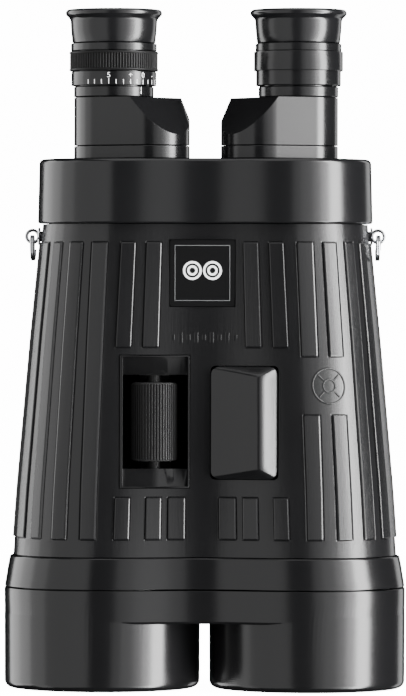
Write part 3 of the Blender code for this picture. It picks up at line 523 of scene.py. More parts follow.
def make_hood():
    """Two barrels and the web between them, bored for the light."""
    centre, radius, valley = 41.2 * MM, 39.5 * MM, 7.0 * MM
    web = 27.0 * MM
    rows = round_rows(web, centre, radius - 0.1 * MM, valley, 1.6 * MM, -1, 5)
    rows.append((38.0 * MM, centre, radius + 0.05 * MM, valley))
    rows += round_rows(hood_high[2], centre, radius, valley, 0.15 * MM, 1, 3)
    hood = mesh_object("hood_moulding", lobed_loft(rows), smooth_rubber)
    barrels, bores = [], []
    lip = 3.0 * MM
    for _, side in SIDES:
        profile = [(0, web + 3 * MM), (39.4 * MM, web + 3 * MM), (39.3 * MM, lip)]
        profile += [(36.3 * MM + lip * math.cos(turn), lip - lip * math.sin(turn))
                    for turn in (math.pi / 2 * step / 6 for step in range(1, 7))] + [(0, 0)]
        barrels.append(turned_mesh(profile, (side * BARREL_X, 0), 144))
        bore = [(0, 50 * MM), (MOUTH, 50 * MM), (MOUTH, 1.2 * MM), (MOUTH + 1.3 * MM, -1 * MM), (0, -1 * MM)]
        bores.append(turned_mesh(bore, (side * BARREL_X, 0), 144))
    carve(hood, barrels, "UNION")
    carve(hood, bores)
    hood.data.set_sharp_from_angle(angle=SOFT_EDGE)
    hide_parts("objective_hood")
    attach(hood, "housing")
    thread = [(MOUTH - (0.9 if step % 2 else 0.5) * MM, (27.3 - 0.9 * step) * MM) for step in range(24)]
    for name, side in SIDES:
        sleeve = turned_mesh([(MOUTH - 0.02 * MM, 27.5 * MM)] + thread + [(MOUTH - 0.02 * MM, 5.5 * MM)],
                             (side * BARREL_X, 0), 96)
        liner = mesh_object(f"hood_liner_{name}", sleeve, flocked_black, 60)
        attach(liner, "housing")


def make_collar():
    low, high = collar_low[2], collar_high[2]
    rows = round_rows(low, 41.15 * MM, 39.45 * MM, 7.0 * MM, 0.15 * MM, -1, 3)
    rows += [(high - 9 * MM, 41.0 * MM, 39.05 * MM, 6.9 * MM),
             (high - 4 * MM, 40.85 * MM, 38.4 * MM, 6.8 * MM)]
    rows += round_rows(high, 40.7 * MM, 37.9 * MM, 6.6 * MM, 0.9 * MM, 1, 5)
    collar = mesh_object("hood_collar", lobed_loft(rows), smooth_rubber)
    passage = mm((0, 60), (33.8, 60), (33.8, 35), (0, 35))
    carve(collar, [turned_mesh(passage, (side * BARREL_X, 0), 96) for _, side in SIDES])
    collar.data.set_sharp_from_angle(angle=SOFT_EDGE)
    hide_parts("objective_collar")
    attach(collar, "housing")


make_hood()
make_collar()

# ================================================================ Objectives
# Coated 60 mm doublets in blackened cells, each held by a threaded retaining ring with two
# spanner slots. They sit deep in the hoods and are only seen from below.
anodised = surface("black_anodised", (0.006, 0.006, 0.0065), (0.01, 0.01, 0.011), 0.34, 0.05, 1500.0, 0.05,
                   0.3)


def coated_glass(name, tint):
    """Clear glass whose coating shows as a faint colour with a slow drift across the face."""
    deeper = tuple(0.94 * part for part in tint)
    material = surface(name, deeper, tint, 0.03, 0.01, 40.0, 0.0)
    shader = material.node_tree.nodes["Principled BSDF"]
    for link in list(shader.inputs["Normal"].links):
        material.node_tree.links.remove(link)
    for label, value in (("Transmission Weight", 0.92), ("IOR", 1.52), ("Coat Weight", 0.6),
                         ("Coat Tint", (0.75, 0.62, 0.95, 1))):
        shader.inputs[label].default_value = value
    return material


front_glass = coated_glass("coated_objective_glass", (0.55, 0.66, 0.62))


def make_objective(name, side):
    centre = (side * BARREL_X, 0)
    profile = mm((33.5, 52), (33.5, 30.2), (32.6, 28.5), (31.2, 28.5), (30.4, 30.4), (30.4, 31), (31.7, 31.2),
                 (31.7, 52))
    cell = mesh_object(f"cell_{name}", turned_mesh(softened(profile, 0.25 * MM), centre), anodised)
    slots = []
    for turn in (0, math.pi):
        slot = block(*mm((30.0, -0.8, 28.0), (32.4, 0.8, 29.3)))
        slot.transform(Matrix.Translation((centre[0], 0, 0)) @ Matrix.Rotation(turn + 0.6, 4, "Z"))
        slots.append(slot)
    carve(cell, slots)
    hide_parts(f"objective_cell_{name}")
    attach(cell, "housing")
    edge = 31.3 * MM
    dome = [(edge * step / 14, (31.4 + 4.1 * (step / 14) ** 2) * MM) for step in range(15)]
    back = [(edge * step / 10, (43.5 + 1.3 * (step / 10) ** 2) * MM) for step in range(11)]
    glass = turned_mesh(back + list(reversed(dome)), centre, 96)
    lens = mesh_object(f"objective_glass_{name}", glass, front_glass, 40)
    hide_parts(f"objective_lens_{name}")
    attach(lens, "housing")


for side_name, side_sign in SIDES:
    make_objective(side_name, side_sign)

# ================================================================ Head cover
# A smooth satin-black cap closes the prism housing. Its foot stands a little proud of the
# armour, and both edges are rounded. The two turrets turn on bearings in its top.
satin_paint = surface("satin_black_paint", (0.0042, 0.0043, 0.0046), (0.0062, 0.0062, 0.0066), 0.19, 0.04,
                      2400.0, 0.07, stretch=(0.03, 0.03, 1))
head_low, head_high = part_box("head_cover")
HEAD_FOOT, HEAD_CROWN, HEAD_INSIDE = mm((32.75, 34.7, 3.8), (32.7, 34.2, 3.6), (32.3, 31.2, 2.3))
TURRET_X = 22.3 * MM
BEARING = mm((0, 220), (11.8, 220), (11.8, 200), (0, 200))


def make_head():
    rows = round_rows(head_low[2], *HEAD_FOOT, 1.0 * MM, -1)
    rows += round_rows(head_high[2], *HEAD_CROWN, 2.0 * MM, 1, 8)
    head = mesh_object("head_cap", lobed_loft(rows), satin_paint)
    cavity = lobed_loft([(head_low[2] - MM, *HEAD_INSIDE), (head_high[2] - 4 * MM, *HEAD_INSIDE)], 24, 24)
    holes = [turned_mesh(BEARING, (side * TURRET_X, 0), 48) for _, side in SIDES]
    carve(head, [cavity] + holes)
    head.data.set_sharp_from_angle(angle=SOFT_EDGE)
    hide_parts("head_cover")
    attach(head, "housing")


make_head()

# ================================================================ Focusing wheel and its bezel
# The ribbed rubber wheel turns on an upright screw inside a polished frame. Ramps at both
# ends of the frame lead a finger down onto the wheel.
enamel_black = surface("enamel_black", (0.004, 0.004, 0.0044), (0.006, 0.006, 0.006), 0.16, 0.03, 1500.0,
                       0.02)
grip_rubber = surface("grip_rubber", (0.005, 0.005, 0.0052), (0.008, 0.008, 0.008), 0.46, 0.05, 900.0, 0.0,
                      specular=0.16)
bezel_low, bezel_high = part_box("focus_bezel")
OPENING_LOW, OPENING_HIGH = 88.8 * MM, 126.2 * MM
FOLD_LEFT, FOLD_RIGHT = 0.105, 0.075            # slopes of a ramp's two halves
WHEEL_CENTRE = (-19.4 * MM, -24.3 * MM)
wheel_low, wheel_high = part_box("focus_wheel")


def front_depth(x, z):
    """The armour's front surface at x and z, as a world Y."""
    centre, radius, valley = body_section(z)
    return -(radius - valley * (0.5 + 0.5 * math.cos(math.pi * x / centre)))


def ramp_cutter(left, right, near, far, back):
    """Cut a finger ramp from the frame's end down to the opening, folded along its middle."""
    middle, before = (left + right) / 2, -45 * MM
    ramp = bmesh.new()
    rows = []
    for step in range(17):
        x = left + (right - left) * step / 16
        fold = max(FOLD_LEFT * (middle - x), FOLD_RIGHT * (x - middle))
        start = front_depth(x, near) + fold + 0.2 * MM
        end = min(start + 2.4 * MM, back - 0.5 * MM)
        corners = ((x, before, near), (x, start, near), (x, end, far), (x, before, far))
        rows.append([ramp.verts.new(spot) for spot in corners])
    loop_skin(ramp, rows)
    ramp.faces.new(rows[0])
    ramp.faces.new(rows[-1])
    bmesh.ops.recalc_face_normals(ramp, faces=ramp.faces)
    return ramp


def edge_bevel(obj, width, degrees):
    """Round every edge sharper than an angle, in three steps."""
    bevel = obj.modifiers.new("edge", "BEVEL")
    bevel.width = width
    bevel.segments = 3
    bevel.limit_method = "ANGLE"
    bevel.angle_limit = math.radians(degrees)


def make_bezel():
    back = bezel_high[1]
    bm = block((bezel_low[0], -40 * MM, bezel_low[2]), (bezel_high[0], back, bezel_high[2]))
    for vertex in bm.verts:
        if vertex.co.y < back - MM:
            vertex.co.y = front_depth(vertex.co.x, vertex.co.z) - 0.35 * MM
    bezel = mesh_object("wheel_bezel", bm, enamel_black, 25)
    left, right = bezel_low[0] + 0.9 * MM, bezel_high[0] - 0.6 * MM
    cutters = [block((left, -45 * MM, OPENING_LOW), (right, -20 * MM, OPENING_HIGH)),
               ramp_cutter(left, right, bezel_low[2] + 0.5 * MM, OPENING_LOW + 0.1 * MM, back),
               ramp_cutter(left, right, bezel_high[2] - 0.5 * MM, OPENING_HIGH - 0.1 * MM, back)]
    carve(bezel, cutters)
    edge_bevel(bezel, 0.3 * MM, 25)
    apply_modifiers(bezel)
    bezel.data.set_sharp_from_angle(angle=math.radians(50))
    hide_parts("focus_bezel")
    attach(bezel, "housing")


RIB_TAPER = 0.45                                # width of a rib's crest against its foot


def ribbed_ring_tree():
    """Upright ribs with sloping flanks, set evenly around a core; sizes are the tree's inputs."""
    tree = bpy.data.node_groups.new("ribbed ring", "GeometryNodeTree")
    for label, kind, value in (("Ribs", "NodeSocketInt", 50), ("Radius", "NodeSocketFloat", 0.01),
                               ("Rib width", "NodeSocketFloat", 0.001),
                               ("Rib depth", "NodeSocketFloat", 0.001),
                               ("Height", "NodeSocketFloat", 0.03), ("Finish", "NodeSocketMaterial", None)):
        socket = tree.interface.new_socket(label, in_out="INPUT", socket_type=kind)
        if value is not None:
            socket.default_value = value
    tree.interface.new_socket("Ring", in_out="OUTPUT", socket_type="NodeSocketGeometry")
    given = tree.nodes.new("NodeGroupInput").outputs
    circle = node_after(tree, "GeometryNodeMeshCircle", Vertices=given["Ribs"], Radius=given["Radius"])
    spots = node_after(tree, "GeometryNodeMeshToPoints", Mesh=circle.outputs["Mesh"])
    outline = node_after(tree, "GeometryNodeCurvePrimitiveQuadrilateral")
    outline.mode = "TRAPEZOID"
    for label, value in (("Height", given["Rib depth"]), ("Bottom Width", given["Rib width"])):
        tree.links.new(value, outline.inputs[label])
    narrow = node_after(tree, "ShaderNodeMath")
    narrow.operation = "MULTIPLY"
    tree.links.new(given["Rib width"], narrow.inputs[0])
    narrow.inputs[1].default_value = RIB_TAPER
    tree.links.new(narrow.outputs["Value"], outline.inputs["Top Width"])
    outline.inputs["Offset"].default_value = 0.0
    rail = node_after(tree, "GeometryNodeCurvePrimitiveLine")
    top = node_after(tree, "ShaderNodeCombineXYZ", Z=given["Height"])
    tree.links.new(top.outputs["Vector"], rail.inputs["End"])
    rib = node_after(tree, "GeometryNodeCurveToMesh", Curve=rail.outputs["Curve"],
                     Profile_Curve=outline.outputs["Curve"])
    rib.inputs["Fill Caps"].default_value = True
    place = tree.nodes.new("GeometryNodeInputPosition")
    turn = node_after(tree, "FunctionNodeAlignRotationToVector", Vector=place.outputs["Position"])
    turn.axis = "Y"
    turn.pivot_axis = "Z"
    ribs = node_after(tree, "GeometryNodeInstanceOnPoints", Points=spots.outputs["Points"],
                      Instance=rib.outputs["Mesh"], Rotation=turn.outputs["Rotation"])
    real = node_after(tree, "GeometryNodeRealizeInstances", Geometry=ribs.outputs["Instances"])
    painted = node_after(tree, "GeometryNodeSetMaterial", Geometry=real.outputs["Geometry"],
                         Material=given["Finish"])
    done = tree.nodes.new("NodeGroupOutput")
    tree.links.new(painted.outputs["Geometry"], done.inputs["Ring"])
    return tree


RIBBED_RING = ribbed_ring_tree()


def ribbed_ring(name, centre, base, finish, **sizes):
    """Grow the ribs with the node tree, then freeze them as a plain mesh in place."""
    seed = bpy.data.objects.new(name, bpy.data.meshes.new(name))
    scene.collection.objects.link(seed)
    grow = seed.modifiers.new("ribs", "NODES")
    grow.node_group = RIBBED_RING
    wanted = {label.replace("_", " "): value for label, value in sizes.items()}
    wanted["Finish"] = finish
    for item in RIBBED_RING.interface.items_tree:
        if item.item_type == "SOCKET" and item.in_out == "INPUT":
            grow[item.identifier] = wanted[item.name]
    bpy.context.view_layer.update()
    apply_modifiers(seed)
    seed.data.transform(Matrix.Translation((*centre, base)))
    return seed


def make_wheel():
    low, high, radius = wheel_low[2], wheel_high[2], 9.55 * MM
    side, hub = radius - 0.5 * MM, 2.8 * MM
    profile = [(side, high - 0.5 * MM), (side, low + 0.5 * MM), (radius - 1.1 * MM, low),
               (hub, low), (hub, high), (radius - 1.1 * MM, high)]
    core = mesh_object("wheel_core", turned_mesh(softened(profile, 0.3 * MM), WHEEL_CENTRE, 100),
                       flocked_black)
    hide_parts("focus_wheel")
    ribs = ribbed_ring("wheel_ribs", WHEEL_CENTRE, low + 0.6 * MM, grip_rubber, Ribs=50,
                       Radius=radius - 0.36 * MM, Rib_width=0.9 * MM, Rib_depth=0.45 * MM,
                       Height=high - low - 1.2 * MM)
    for piece in (core, ribs):
        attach(piece, "focus_drive")


make_bezel()
make_wheel()

# ================================================================ Stabiliser button
# A raised rubber-covered wedge hinged at its left edge. A finger on the steep right flank
# presses it in, and that frees the prisms to float.
button_low, button_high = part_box("stabiliser_button")
BUTTON_RISE, BUTTON_FLANK, BUTTON_END = 0.33, 0.96, 1.8       # slopes of the pad's faces
BUTTON_SOFT = 1.3 * MM                          # how widely its ridges are rounded


def button_height(x, z):
    """How far the pad stands over its rim: a long rise, a soft ridge and steep flanks."""
    low, high = button_low, button_high
    limits = (BUTTON_RISE * (x - low[0]), BUTTON_FLANK * (high[0] - x),
              BUTTON_END * (z - low[2]), BUTTON_END * (high[2] - z))
    total = sum(math.exp(-(value + 0.2 * MM) / BUTTON_SOFT) for value in limits)
    return max(0.0, 1.3 * MM - BUTTON_SOFT * math.log(total))


def make_button():
    low, high = button_low, button_high
    wide, tall = 56, 84
    back, corner = -28.4 * MM, 3.2 * MM
    bm = bmesh.new()
    rows = []
    for j in range(tall + 1):
        z = low[2] + (high[2] - low[2]) * j / tall
        depth = min(z - low[2], high[2] - z, corner)
        inset = corner - math.sqrt(corner ** 2 - (corner - depth) ** 2)
        row = []
        for i in range(wide + 1):
            x = low[0] + inset + (high[0] - low[0] - 2 * inset) * i / wide
            row.append(bm.verts.new((x, front_depth(x, z) + 0.25 * MM - button_height(x, z), z)))
        rows.append(row)
    for lower, upper in zip(rows, rows[1:]):
        for i in range(wide):
            bm.faces.new((lower[i], lower[i + 1], upper[i + 1], upper[i]))
    rim = (rows[0][:-1] + [row[-1] for row in rows[:-1]] + list(reversed(rows[-1][1:]))
           + [row[0] for row in reversed(rows[1:])])
    floor_ring = [bm.verts.new((vertex.co.x, back, vertex.co.z)) for vertex in rim]
    loop_skin(bm, [floor_ring, rim])
    bm.faces.new(floor_ring)
    bmesh.ops.remove_doubles(bm, verts=bm.verts, dist=1e-6)
    bmesh.ops.recalc_face_normals(bm, faces=bm.faces)
    button = mesh_object("button_pad", bm, armour, 60)
    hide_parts("stabiliser_button")
    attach(button, "button")


make_button()

# ================================================================ Name plate and embossed marks
# A dark enamelled plate with a fine silver border is let into the valley. It carries a plain
# binocular sign. The flank mark and the row under the plate are moulded into the rubber.
silver_line = surface("silver_line", (0.55, 0.56, 0.57), (0.7, 0.71, 0.72), 0.3, 0.05, 1500.0, 0.02, 0.9)
white_ink = surface("white_ink", (0.78, 0.78, 0.78), (0.88, 0.88, 0.88), 0.45, 0.05, 2500.0, 0.02)
plate_low, plate_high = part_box("name_plate")


def flat_band(points, half_width, y):
    """A thin raised closed band along points in the XZ plane, facing the front."""
    bm = bmesh.new()
    inner, outer = [], []
    for index, point in enumerate(points):
        here, after = Vector(point), Vector(points[(index + 1) % len(points)])
        first, second = (here - Vector(points[index - 1])).normalized(), (after - here).normalized()
        across = Vector((-(first + second).y, (first + second).x)).normalized()
        stretch = half_width / max(0.5, across.dot(Vector((-first.y, first.x))))
        for side, store in ((-1, inner), (1, outer)):
            spot = here + across * side * stretch
            store.append([bm.verts.new((spot.x, y, spot.y)), bm.verts.new((spot.x, y + 0.15 * MM, spot.y))])
    for i in range(len(points)):
        j = (i + 1) % len(points)
        bm.faces.new((inner[i][0], inner[j][0], outer[j][0], outer[i][0]))
        bm.faces.new((inner[i][1], outer[i][1], outer[j][1], inner[j][1]))
        bm.faces.new((inner[i][0], inner[i][1], inner[j][1], inner[j][0]))
        bm.faces.new((outer[i][0], outer[j][0], outer[j][1], outer[i][1]))
    bmesh.ops.recalc_face_normals(bm, faces=bm.faces)
    return bm


def circle_points(centre, radius, count=40):
    """Evenly spaced points round a circle, counter-clockwise."""
    return [(centre[0] + radius * math.cos(2 * math.pi * i / count),
             centre[1] + radius * math.sin(2 * math.pi * i / count)) for i in range(count)]


def make_plate():
    front = plate_low[1]
    bm = round_corners(block(plate_low, plate_high), 0.8 * MM)
    plate = mesh_object("enamel_plate", bm, enamel_black, 30)
    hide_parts("name_plate")
    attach(plate, "housing")
    left, right = plate_low[0] + 2.0 * MM, plate_high[0] - 2.0 * MM
    low, high = plate_low[2] + 2.3 * MM, plate_high[2] - 2.1 * MM
    proud = front - 0.12 * MM
    frame_line = flat_band([(left, low), (right, low), (right, high), (left, high)], 0.11 * MM, proud)
    border = mesh_object("plate_border", frame_line, silver_line)
    middle = (low + high) / 2 + 1.0 * MM
    sign = bmesh.new()
    for spot, radius in mm((-4.0, 3.3), (4.0, 3.3), (-4.0, 1.6), (4.0, 1.6)):
        add_mesh(sign, flat_band(circle_points((spot, middle), radius), 0.45 * MM, proud))
    glyph = mesh_object("plate_sign", sign, white_ink)
    for piece in (border, glyph):
        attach(piece, "housing")


FLANK_COLUMN, FLANK_Z = 1.125, 121.9 * MM       # middle of the flank sign
SIDE_LENGTH = 35 * MM * math.pi                 # one side stretch of columns, as a length


def moulded_line(bm, path, closed):
    """A round bead along a path of (across, up) points on the flank, half sunk in the rubber."""
    points = [on_body(FLANK_COLUMN + a / SIDE_LENGTH, FLANK_Z + b, -0.05 * MM) for a, b in path]
    count, sides, radius = len(points), 8, 0.42 * MM
    turns = [2 * math.pi * k / sides for k in range(sides)]
    rings = []
    for index, point in enumerate(points):
        after = points[(index + 1) % count] if closed or index + 1 < count else point
        before = points[index - 1] if closed or index else point
        along = (after - before).normalized()
        out = lobed_point(FLANK_COLUMN + path[index][0] / SIDE_LENGTH, *body_section(point.z))[1]
        out = (out - along * out.dot(along)).normalized()
        side = along.cross(out)
        rings.append([bm.verts.new(point + (side * math.cos(turn) + out * math.sin(turn)) * radius)
                      for turn in turns])
    loop_skin(bm, rings + ([rings[0]] if closed else []))
    if not closed:
        bm.faces.new(rings[0])
        bm.faces.new(rings[-1])


def make_marks():
    """A ring-and-bar sign on the right flank and a row of dashes under the plate."""
    bm = bmesh.new()
    moulded_line(bm, circle_points((0, 0), 7.0 * MM, 56), True)
    moulded_line(bm, circle_points((0, 0), 2.6 * MM, 32), True)
    for turn in range(4):
        angle = math.pi / 4 + turn * math.pi / 2
        spoke = [(reach * MM * math.cos(angle), reach * MM * math.sin(angle))
                 for reach in (3.4, 4.4, 5.4, 6.2)]
        moulded_line(bm, spoke, False)
    bmesh.ops.recalc_face_normals(bm, faces=bm.faces)
    sign = mesh_object("flank_sign", bm, armour, 50)

    row = bmesh.new()
    middle_z = 141.1 * MM
    for step in range(9):
        x = (step - 4) * 3.1 * MM + 0.6 * MM
        y = front_depth(x, 141 * MM)
        tall = 2.1 * MM if step % 2 else 1.1 * MM
        bar = block((x - 0.85 * MM, y - 0.12 * MM, middle_z - tall),
                    (x + 0.85 * MM, y + 0.4 * MM, middle_z + tall))
        bmesh.ops.bevel(bar, geom=list(bar.edges), offset=0.1 * MM, segments=2, profile=0.5, affect="EDGES")
        add_mesh(row, bar)
    dashes = mesh_object("dash_row", row, armour, 50)
    for piece in (sign, dashes):
        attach(piece, "housing")


make_plate()
make_marks()

# ================================================================ Strap lugs and split rings
# Polished chrome studs screw into both flanks below the head. A two-coil split ring hangs in
# each eye and takes the strap.
chrome = surface("polished_chrome", (0.62, 0.63, 0.65), (0.72, 0.73, 0.75), 0.12, 0.03, 1200.0, 0.01, 1.0)
LUG_Z = 181.5 * MM
EYE_X = 69.6 * MM


def make_lug(name, side):
    profile = softened(mm((3.1, 1.4), (3.1, -1.4), (1.8, -1.4), (1.8, 1.4)), 0.5 * MM, 4)
    eye = turned_mesh(profile, steps=48)
    eye.transform(Matrix.Translation((side * EYE_X, 0, LUG_Z)) @ Matrix.Rotation(math.pi / 2, 4, "X"))
    lug = mesh_object(f"lug_{name}", eye, chrome, 40)
    stud = turned_mesh(mm((0, 67.6), (1.9, 67.6), (1.9, 67.5), (3.2, 67.4), (3.6, 67.0), (3.6, 66.6),
                          (2.1, 66.5), (2.1, 62), (0, 62)), steps=48)
    stud.transform(Matrix.Translation((0, 0, LUG_Z)) @ Matrix.Rotation(side * math.pi / 2, 4, "Y"))
    stalk = mesh_object(f"lug_stud_{name}", stud, chrome, 40)
    for piece in (lug, stalk):
        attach(piece, "housing")
    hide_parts(f"strap_lug_{name}")

    bm = bmesh.new()
    hang, wire, coils = 4.6 * MM, 0.6 * MM, 2.0
    steps, sides = 110, 12
    turns = [2 * math.pi * k / sides for k in range(sides)]
    rings = []
    for index in range(steps + 1):
        part = index / steps
        angle = math.pi * 0.55 + 2 * math.pi * coils * part
        shift = (part - 0.5) * 1.3 * MM
        out = Vector((0, math.sin(angle), math.cos(angle)))
        across = Vector((1, 0, 0))
        spot = Vector((side * (EYE_X + shift), 0, LUG_Z - hang)) + out * hang
        rings.append([bm.verts.new(spot + (across * math.cos(turn) + out * math.sin(turn)) * wire)
                      for turn in turns])
    loop_skin(bm, rings)
    bm.faces.new(rings[0])
    bm.faces.new(rings[-1])
    bmesh.ops.recalc_face_normals(bm, faces=bm.faces)
    ring = mesh_object(f"split_ring_{name}", bm, chrome, 50)
    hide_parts(f"strap_ring_{name}")
    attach(ring, f"strap_ring_{name}")


for side_name, side_sign in SIDES:
    make_lug(side_name, side_sign)

# ================================================================ Turrets
# Each eyepiece stands on a swinging turret: a turned base plate and a housing for the
# rhomboid prism, with flat flanks and a hollowed shoulder that clears the user's nose.
ARM, TURRET_R = 16.8 * MM, 16.0 * MM
REST_SWING = math.radians(26.5)
EYE_AXIS = (TURRET_X + ARM * math.cos(REST_SWING), ARM * math.sin(REST_SWING))
CUTS = 9                                        # flat cuts that hollow one shoulder
CUT_RANGE = ((46, 46), (222.5, 6.1), (0.77, -0.38))   # turn, height and lean: the first, and the change
base_low, base_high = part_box("turret_base_left")
turret_low, turret_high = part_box("turret_housing_left")


def stadium(side, radius, steps=48):
    """Outline of the hull of the turret's and the eyepiece's circles, counter-clockwise."""
    lean = math.atan2(EYE_AXIS[1], EYE_AXIS[0] - TURRET_X)
    points = []
    for (x, y), first in ((EYE_AXIS, -math.pi / 2), ((TURRET_X, 0.0), math.pi / 2)):
        turns = [lean + (first + math.pi * k / steps) for k in range(steps + 1)]
        points += [(x + radius * math.cos(turn), y + radius * math.sin(turn)) for turn in turns]
    return [(side * x, y) for x, y in (points if side > 0 else reversed(points))]


def prism(outline, low, high):
    """An upright block with a given outline."""
    bm = bmesh.new()
    bottom = [bm.verts.new((x, y, low)) for x, y in outline]
    top = [bm.verts.new((x, y, high)) for x, y in outline]
    loop_skin(bm, [bottom, top])
    bm.faces.new(reversed(bottom))
    bm.faces.new(top)
    return bm


def rim_bevel(obj, width, degrees):
    """Round the sharp edges and keep the flat faces evenly shaded."""
    edge_bevel(obj, width, degrees)
    even = obj.modifiers.new("flat_faces", "WEIGHTED_NORMAL")
    even.keep_sharp = True
    even.weight = 100
    apply_modifiers(obj)


def make_turret(name, side):
    """Base plate, and a housing whose inner shoulder is hollowed by a fan of slanting cuts."""
    base = mesh_object(f"base_{name}", prism(stadium(side, TURRET_R), base_low[2], base_high[2]), satin_paint)
    rim_bevel(base, 0.35 * MM, 40)
    bm = prism(stadium(side, TURRET_R), turret_low[2], turret_high[2])
    for index in range(CUTS):
        turn, start, lean = (first + change * index / (CUTS - 1) for first, change in CUT_RANGE)
        turn, start = math.radians(turn), start * MM
        out = Vector((-side * math.sin(turn), -math.cos(turn), 0))
        point = Vector((side * TURRET_X, 0, start)) + out * TURRET_R
        normal = (out + Vector((0, 0, lean))).normalized()
        geometry = list(bm.verts) + list(bm.edges) + list(bm.faces)
        cut = bmesh.ops.bisect_plane(bm, geom=geometry, dist=1e-7, plane_co=point, plane_no=normal,
                                     clear_outer=True)
        edges = [item for item in cut["geom_cut"] if isinstance(item, bmesh.types.BMEdge)]
        if edges:
            bmesh.ops.edgeloop_fill(bm, edges=edges)
    bmesh.ops.recalc_face_normals(bm, faces=bm.faces)
    housing = mesh_object(f"shoulder_{name}", bm, satin_paint)
    rim_bevel(housing, 0.3 * MM, 30)
    for piece, node in ((base, "turret_base"), (housing, "turret_housing")):
        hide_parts(f"{node}_{name}")
        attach(piece, f"turret_{name}")


for side_name, side_sign in SIDES:
    make_turret(side_name, side_sign)

# ================================================================ Eyepiece barrels
# Turned alloy barrels in satin black. The left one carries the dioptre scale, engraved and
# filled white, and a knurled ring that moves its eye lens. The right one is fixed.
TUBE_LOW, TUBE_HIGH = (corner[2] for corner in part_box("eyepiece_tube_left"))
TUBE_RADIUS, RING_BORE = 16.1 * MM, 14.9 * MM
DIOPTRE_STEP, DIOPTRE_ZERO = math.radians(10), math.radians(46)
scale_low, scale_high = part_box("dioptre_scale_ring")
grip_low, grip_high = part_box("dioptre_grip_ring")
seat_low, seat_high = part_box("eyecup_seat_left")
ring_low, ring_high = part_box("eyepiece_ring_right")


def eye_centre(side):
    return (side * EYE_AXIS[0], EYE_AXIS[1])


def make_tube(name, side):
    foot = 242.1 * MM
    profile = [(14.6 * MM, TUBE_HIGH), (14.6 * MM, foot), (15.7 * MM, foot), (TUBE_RADIUS, foot - 0.4 * MM),
               (TUBE_RADIUS, TUBE_LOW + 0.3 * MM), (15.8 * MM, TUBE_LOW), (12.4 * MM, TUBE_LOW),
               (12.4 * MM, TUBE_HIGH)]
    tube = mesh_object(f"barrel_{name}", turned_mesh(profile, eye_centre(side)), satin_paint)
    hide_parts(f"eyepiece_tube_{name}")
    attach(tube, f"turret_{name}")


def ink_on_ring(name, bm, radius, body):
    """Bend a flat marking, drawn as arc length and height, round the left barrel."""
    centre = eye_centre(-1)
    for vertex in bm.verts:
        turn = vertex.co.x / radius
        reach = radius + vertex.co.y
        vertex.co = Vector((centre[0] + reach * math.sin(turn), centre[1] - reach * math.cos(turn),
                            vertex.co.z))
    marking = mesh_object(name, bm, white_ink, 60)
    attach(marking, body)


def engraved(text, size, place, skin):
    """A thin slab in the shape of a figure, centred across place and standing on it."""
    curve = bpy.data.curves.new("sign", "FONT")
    curve.body = text
    curve.size = size
    curve.align_x = "CENTER"
    sign = bpy.data.objects.new("sign", curve)
    scene.collection.objects.link(sign)
    bpy.context.view_layer.update()
    flat = bpy.data.meshes.new_from_object(sign.evaluated_get(bpy.context.evaluated_depsgraph_get()))
    bpy.data.objects.remove(sign)
    glyph = bmesh.new()
    glyph.from_mesh(flat)
    bpy.data.meshes.remove(flat)
    for item in bmesh.ops.extrude_face_region(glyph, geom=list(glyph.faces))["geom"]:
        if isinstance(item, bmesh.types.BMVert):
            item.co.z += 2 * skin
    for vertex in glyph.verts:
        x, y, lift = vertex.co
        vertex.co = Vector((place[0] + x, lift - skin, place[1] + y * 0.95))
    bmesh.ops.recalc_face_normals(glyph, faces=glyph.faces)
    return glyph


def make_scale():
    """Smooth ring with a tick every ten degrees and a sign at every third one."""
    low, high, radius = scale_low[2], scale_high[2], 17.15 * MM
    profile = softened([(radius, high), (radius, low), (RING_BORE, low), (RING_BORE, high)], 0.3 * MM)
    ring = mesh_object("scale_ring", turned_mesh(profile, eye_centre(-1)), satin_paint)
    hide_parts("dioptre_scale_ring")
    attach(ring, "dioptre_ring")
    ink = bmesh.new()
    skin = 0.06 * MM
    for step in range(-8, 9):
        middle = (DIOPTRE_ZERO + DIOPTRE_STEP * step) * radius
        tall = 2.1 * MM if step % 5 == 0 else 1.8 * MM
        tick = block((middle - 0.16 * MM, -skin, low + 0.4 * MM),
                     (middle + 0.16 * MM, skin, low + 0.4 * MM + tall))
        add_mesh(ink, tick)
    for text, step in (("5", -5), ("+", -2), ("0", 0), ("-", 2), ("5", 5)):
        middle = (DIOPTRE_ZERO + DIOPTRE_STEP * step) * radius
        add_mesh(ink, engraved(text, 3.1 * MM, (middle, low + 3.0 * MM), skin))
    ink_on_ring("scale_marks", ink, radius, "dioptre_ring")
    middle = DIOPTRE_ZERO * TUBE_RADIUS
    index = block((middle - 0.2 * MM, -skin, 238.8 * MM), (middle + 0.2 * MM, skin, 241.6 * MM))
    ink_on_ring("scale_index", index, TUBE_RADIUS, "turret_left")


def make_grip():
    """The knurled dioptre ring: fine upright teeth between two plain rims."""
    low, high, radius = grip_low[2], grip_high[2], 18.0 * MM
    core = radius - 0.55 * MM
    profile = [(RING_BORE, high), (radius - 0.3 * MM, high), (radius, high - 0.3 * MM),
               (radius, high - 0.8 * MM), (core, high - 1.0 * MM), (core, low + 1.0 * MM),
               (radius, low + 0.8 * MM), (radius, low + 0.3 * MM), (radius - 0.3 * MM, low),
               (RING_BORE, low)]
    ring = mesh_object("grip_ring", turned_mesh(profile, eye_centre(-1)), grip_rubber)
    teeth = ribbed_ring("grip_teeth", eye_centre(-1), low + 0.9 * MM, grip_rubber, Ribs=96,
                        Radius=core + 0.05 * MM, Rib_width=0.85 * MM, Rib_depth=0.6 * MM,
                        Height=high - low - 1.8 * MM)
    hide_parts("dioptre_grip_ring")
    for piece in (ring, teeth):
        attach(piece, "dioptre_ring")


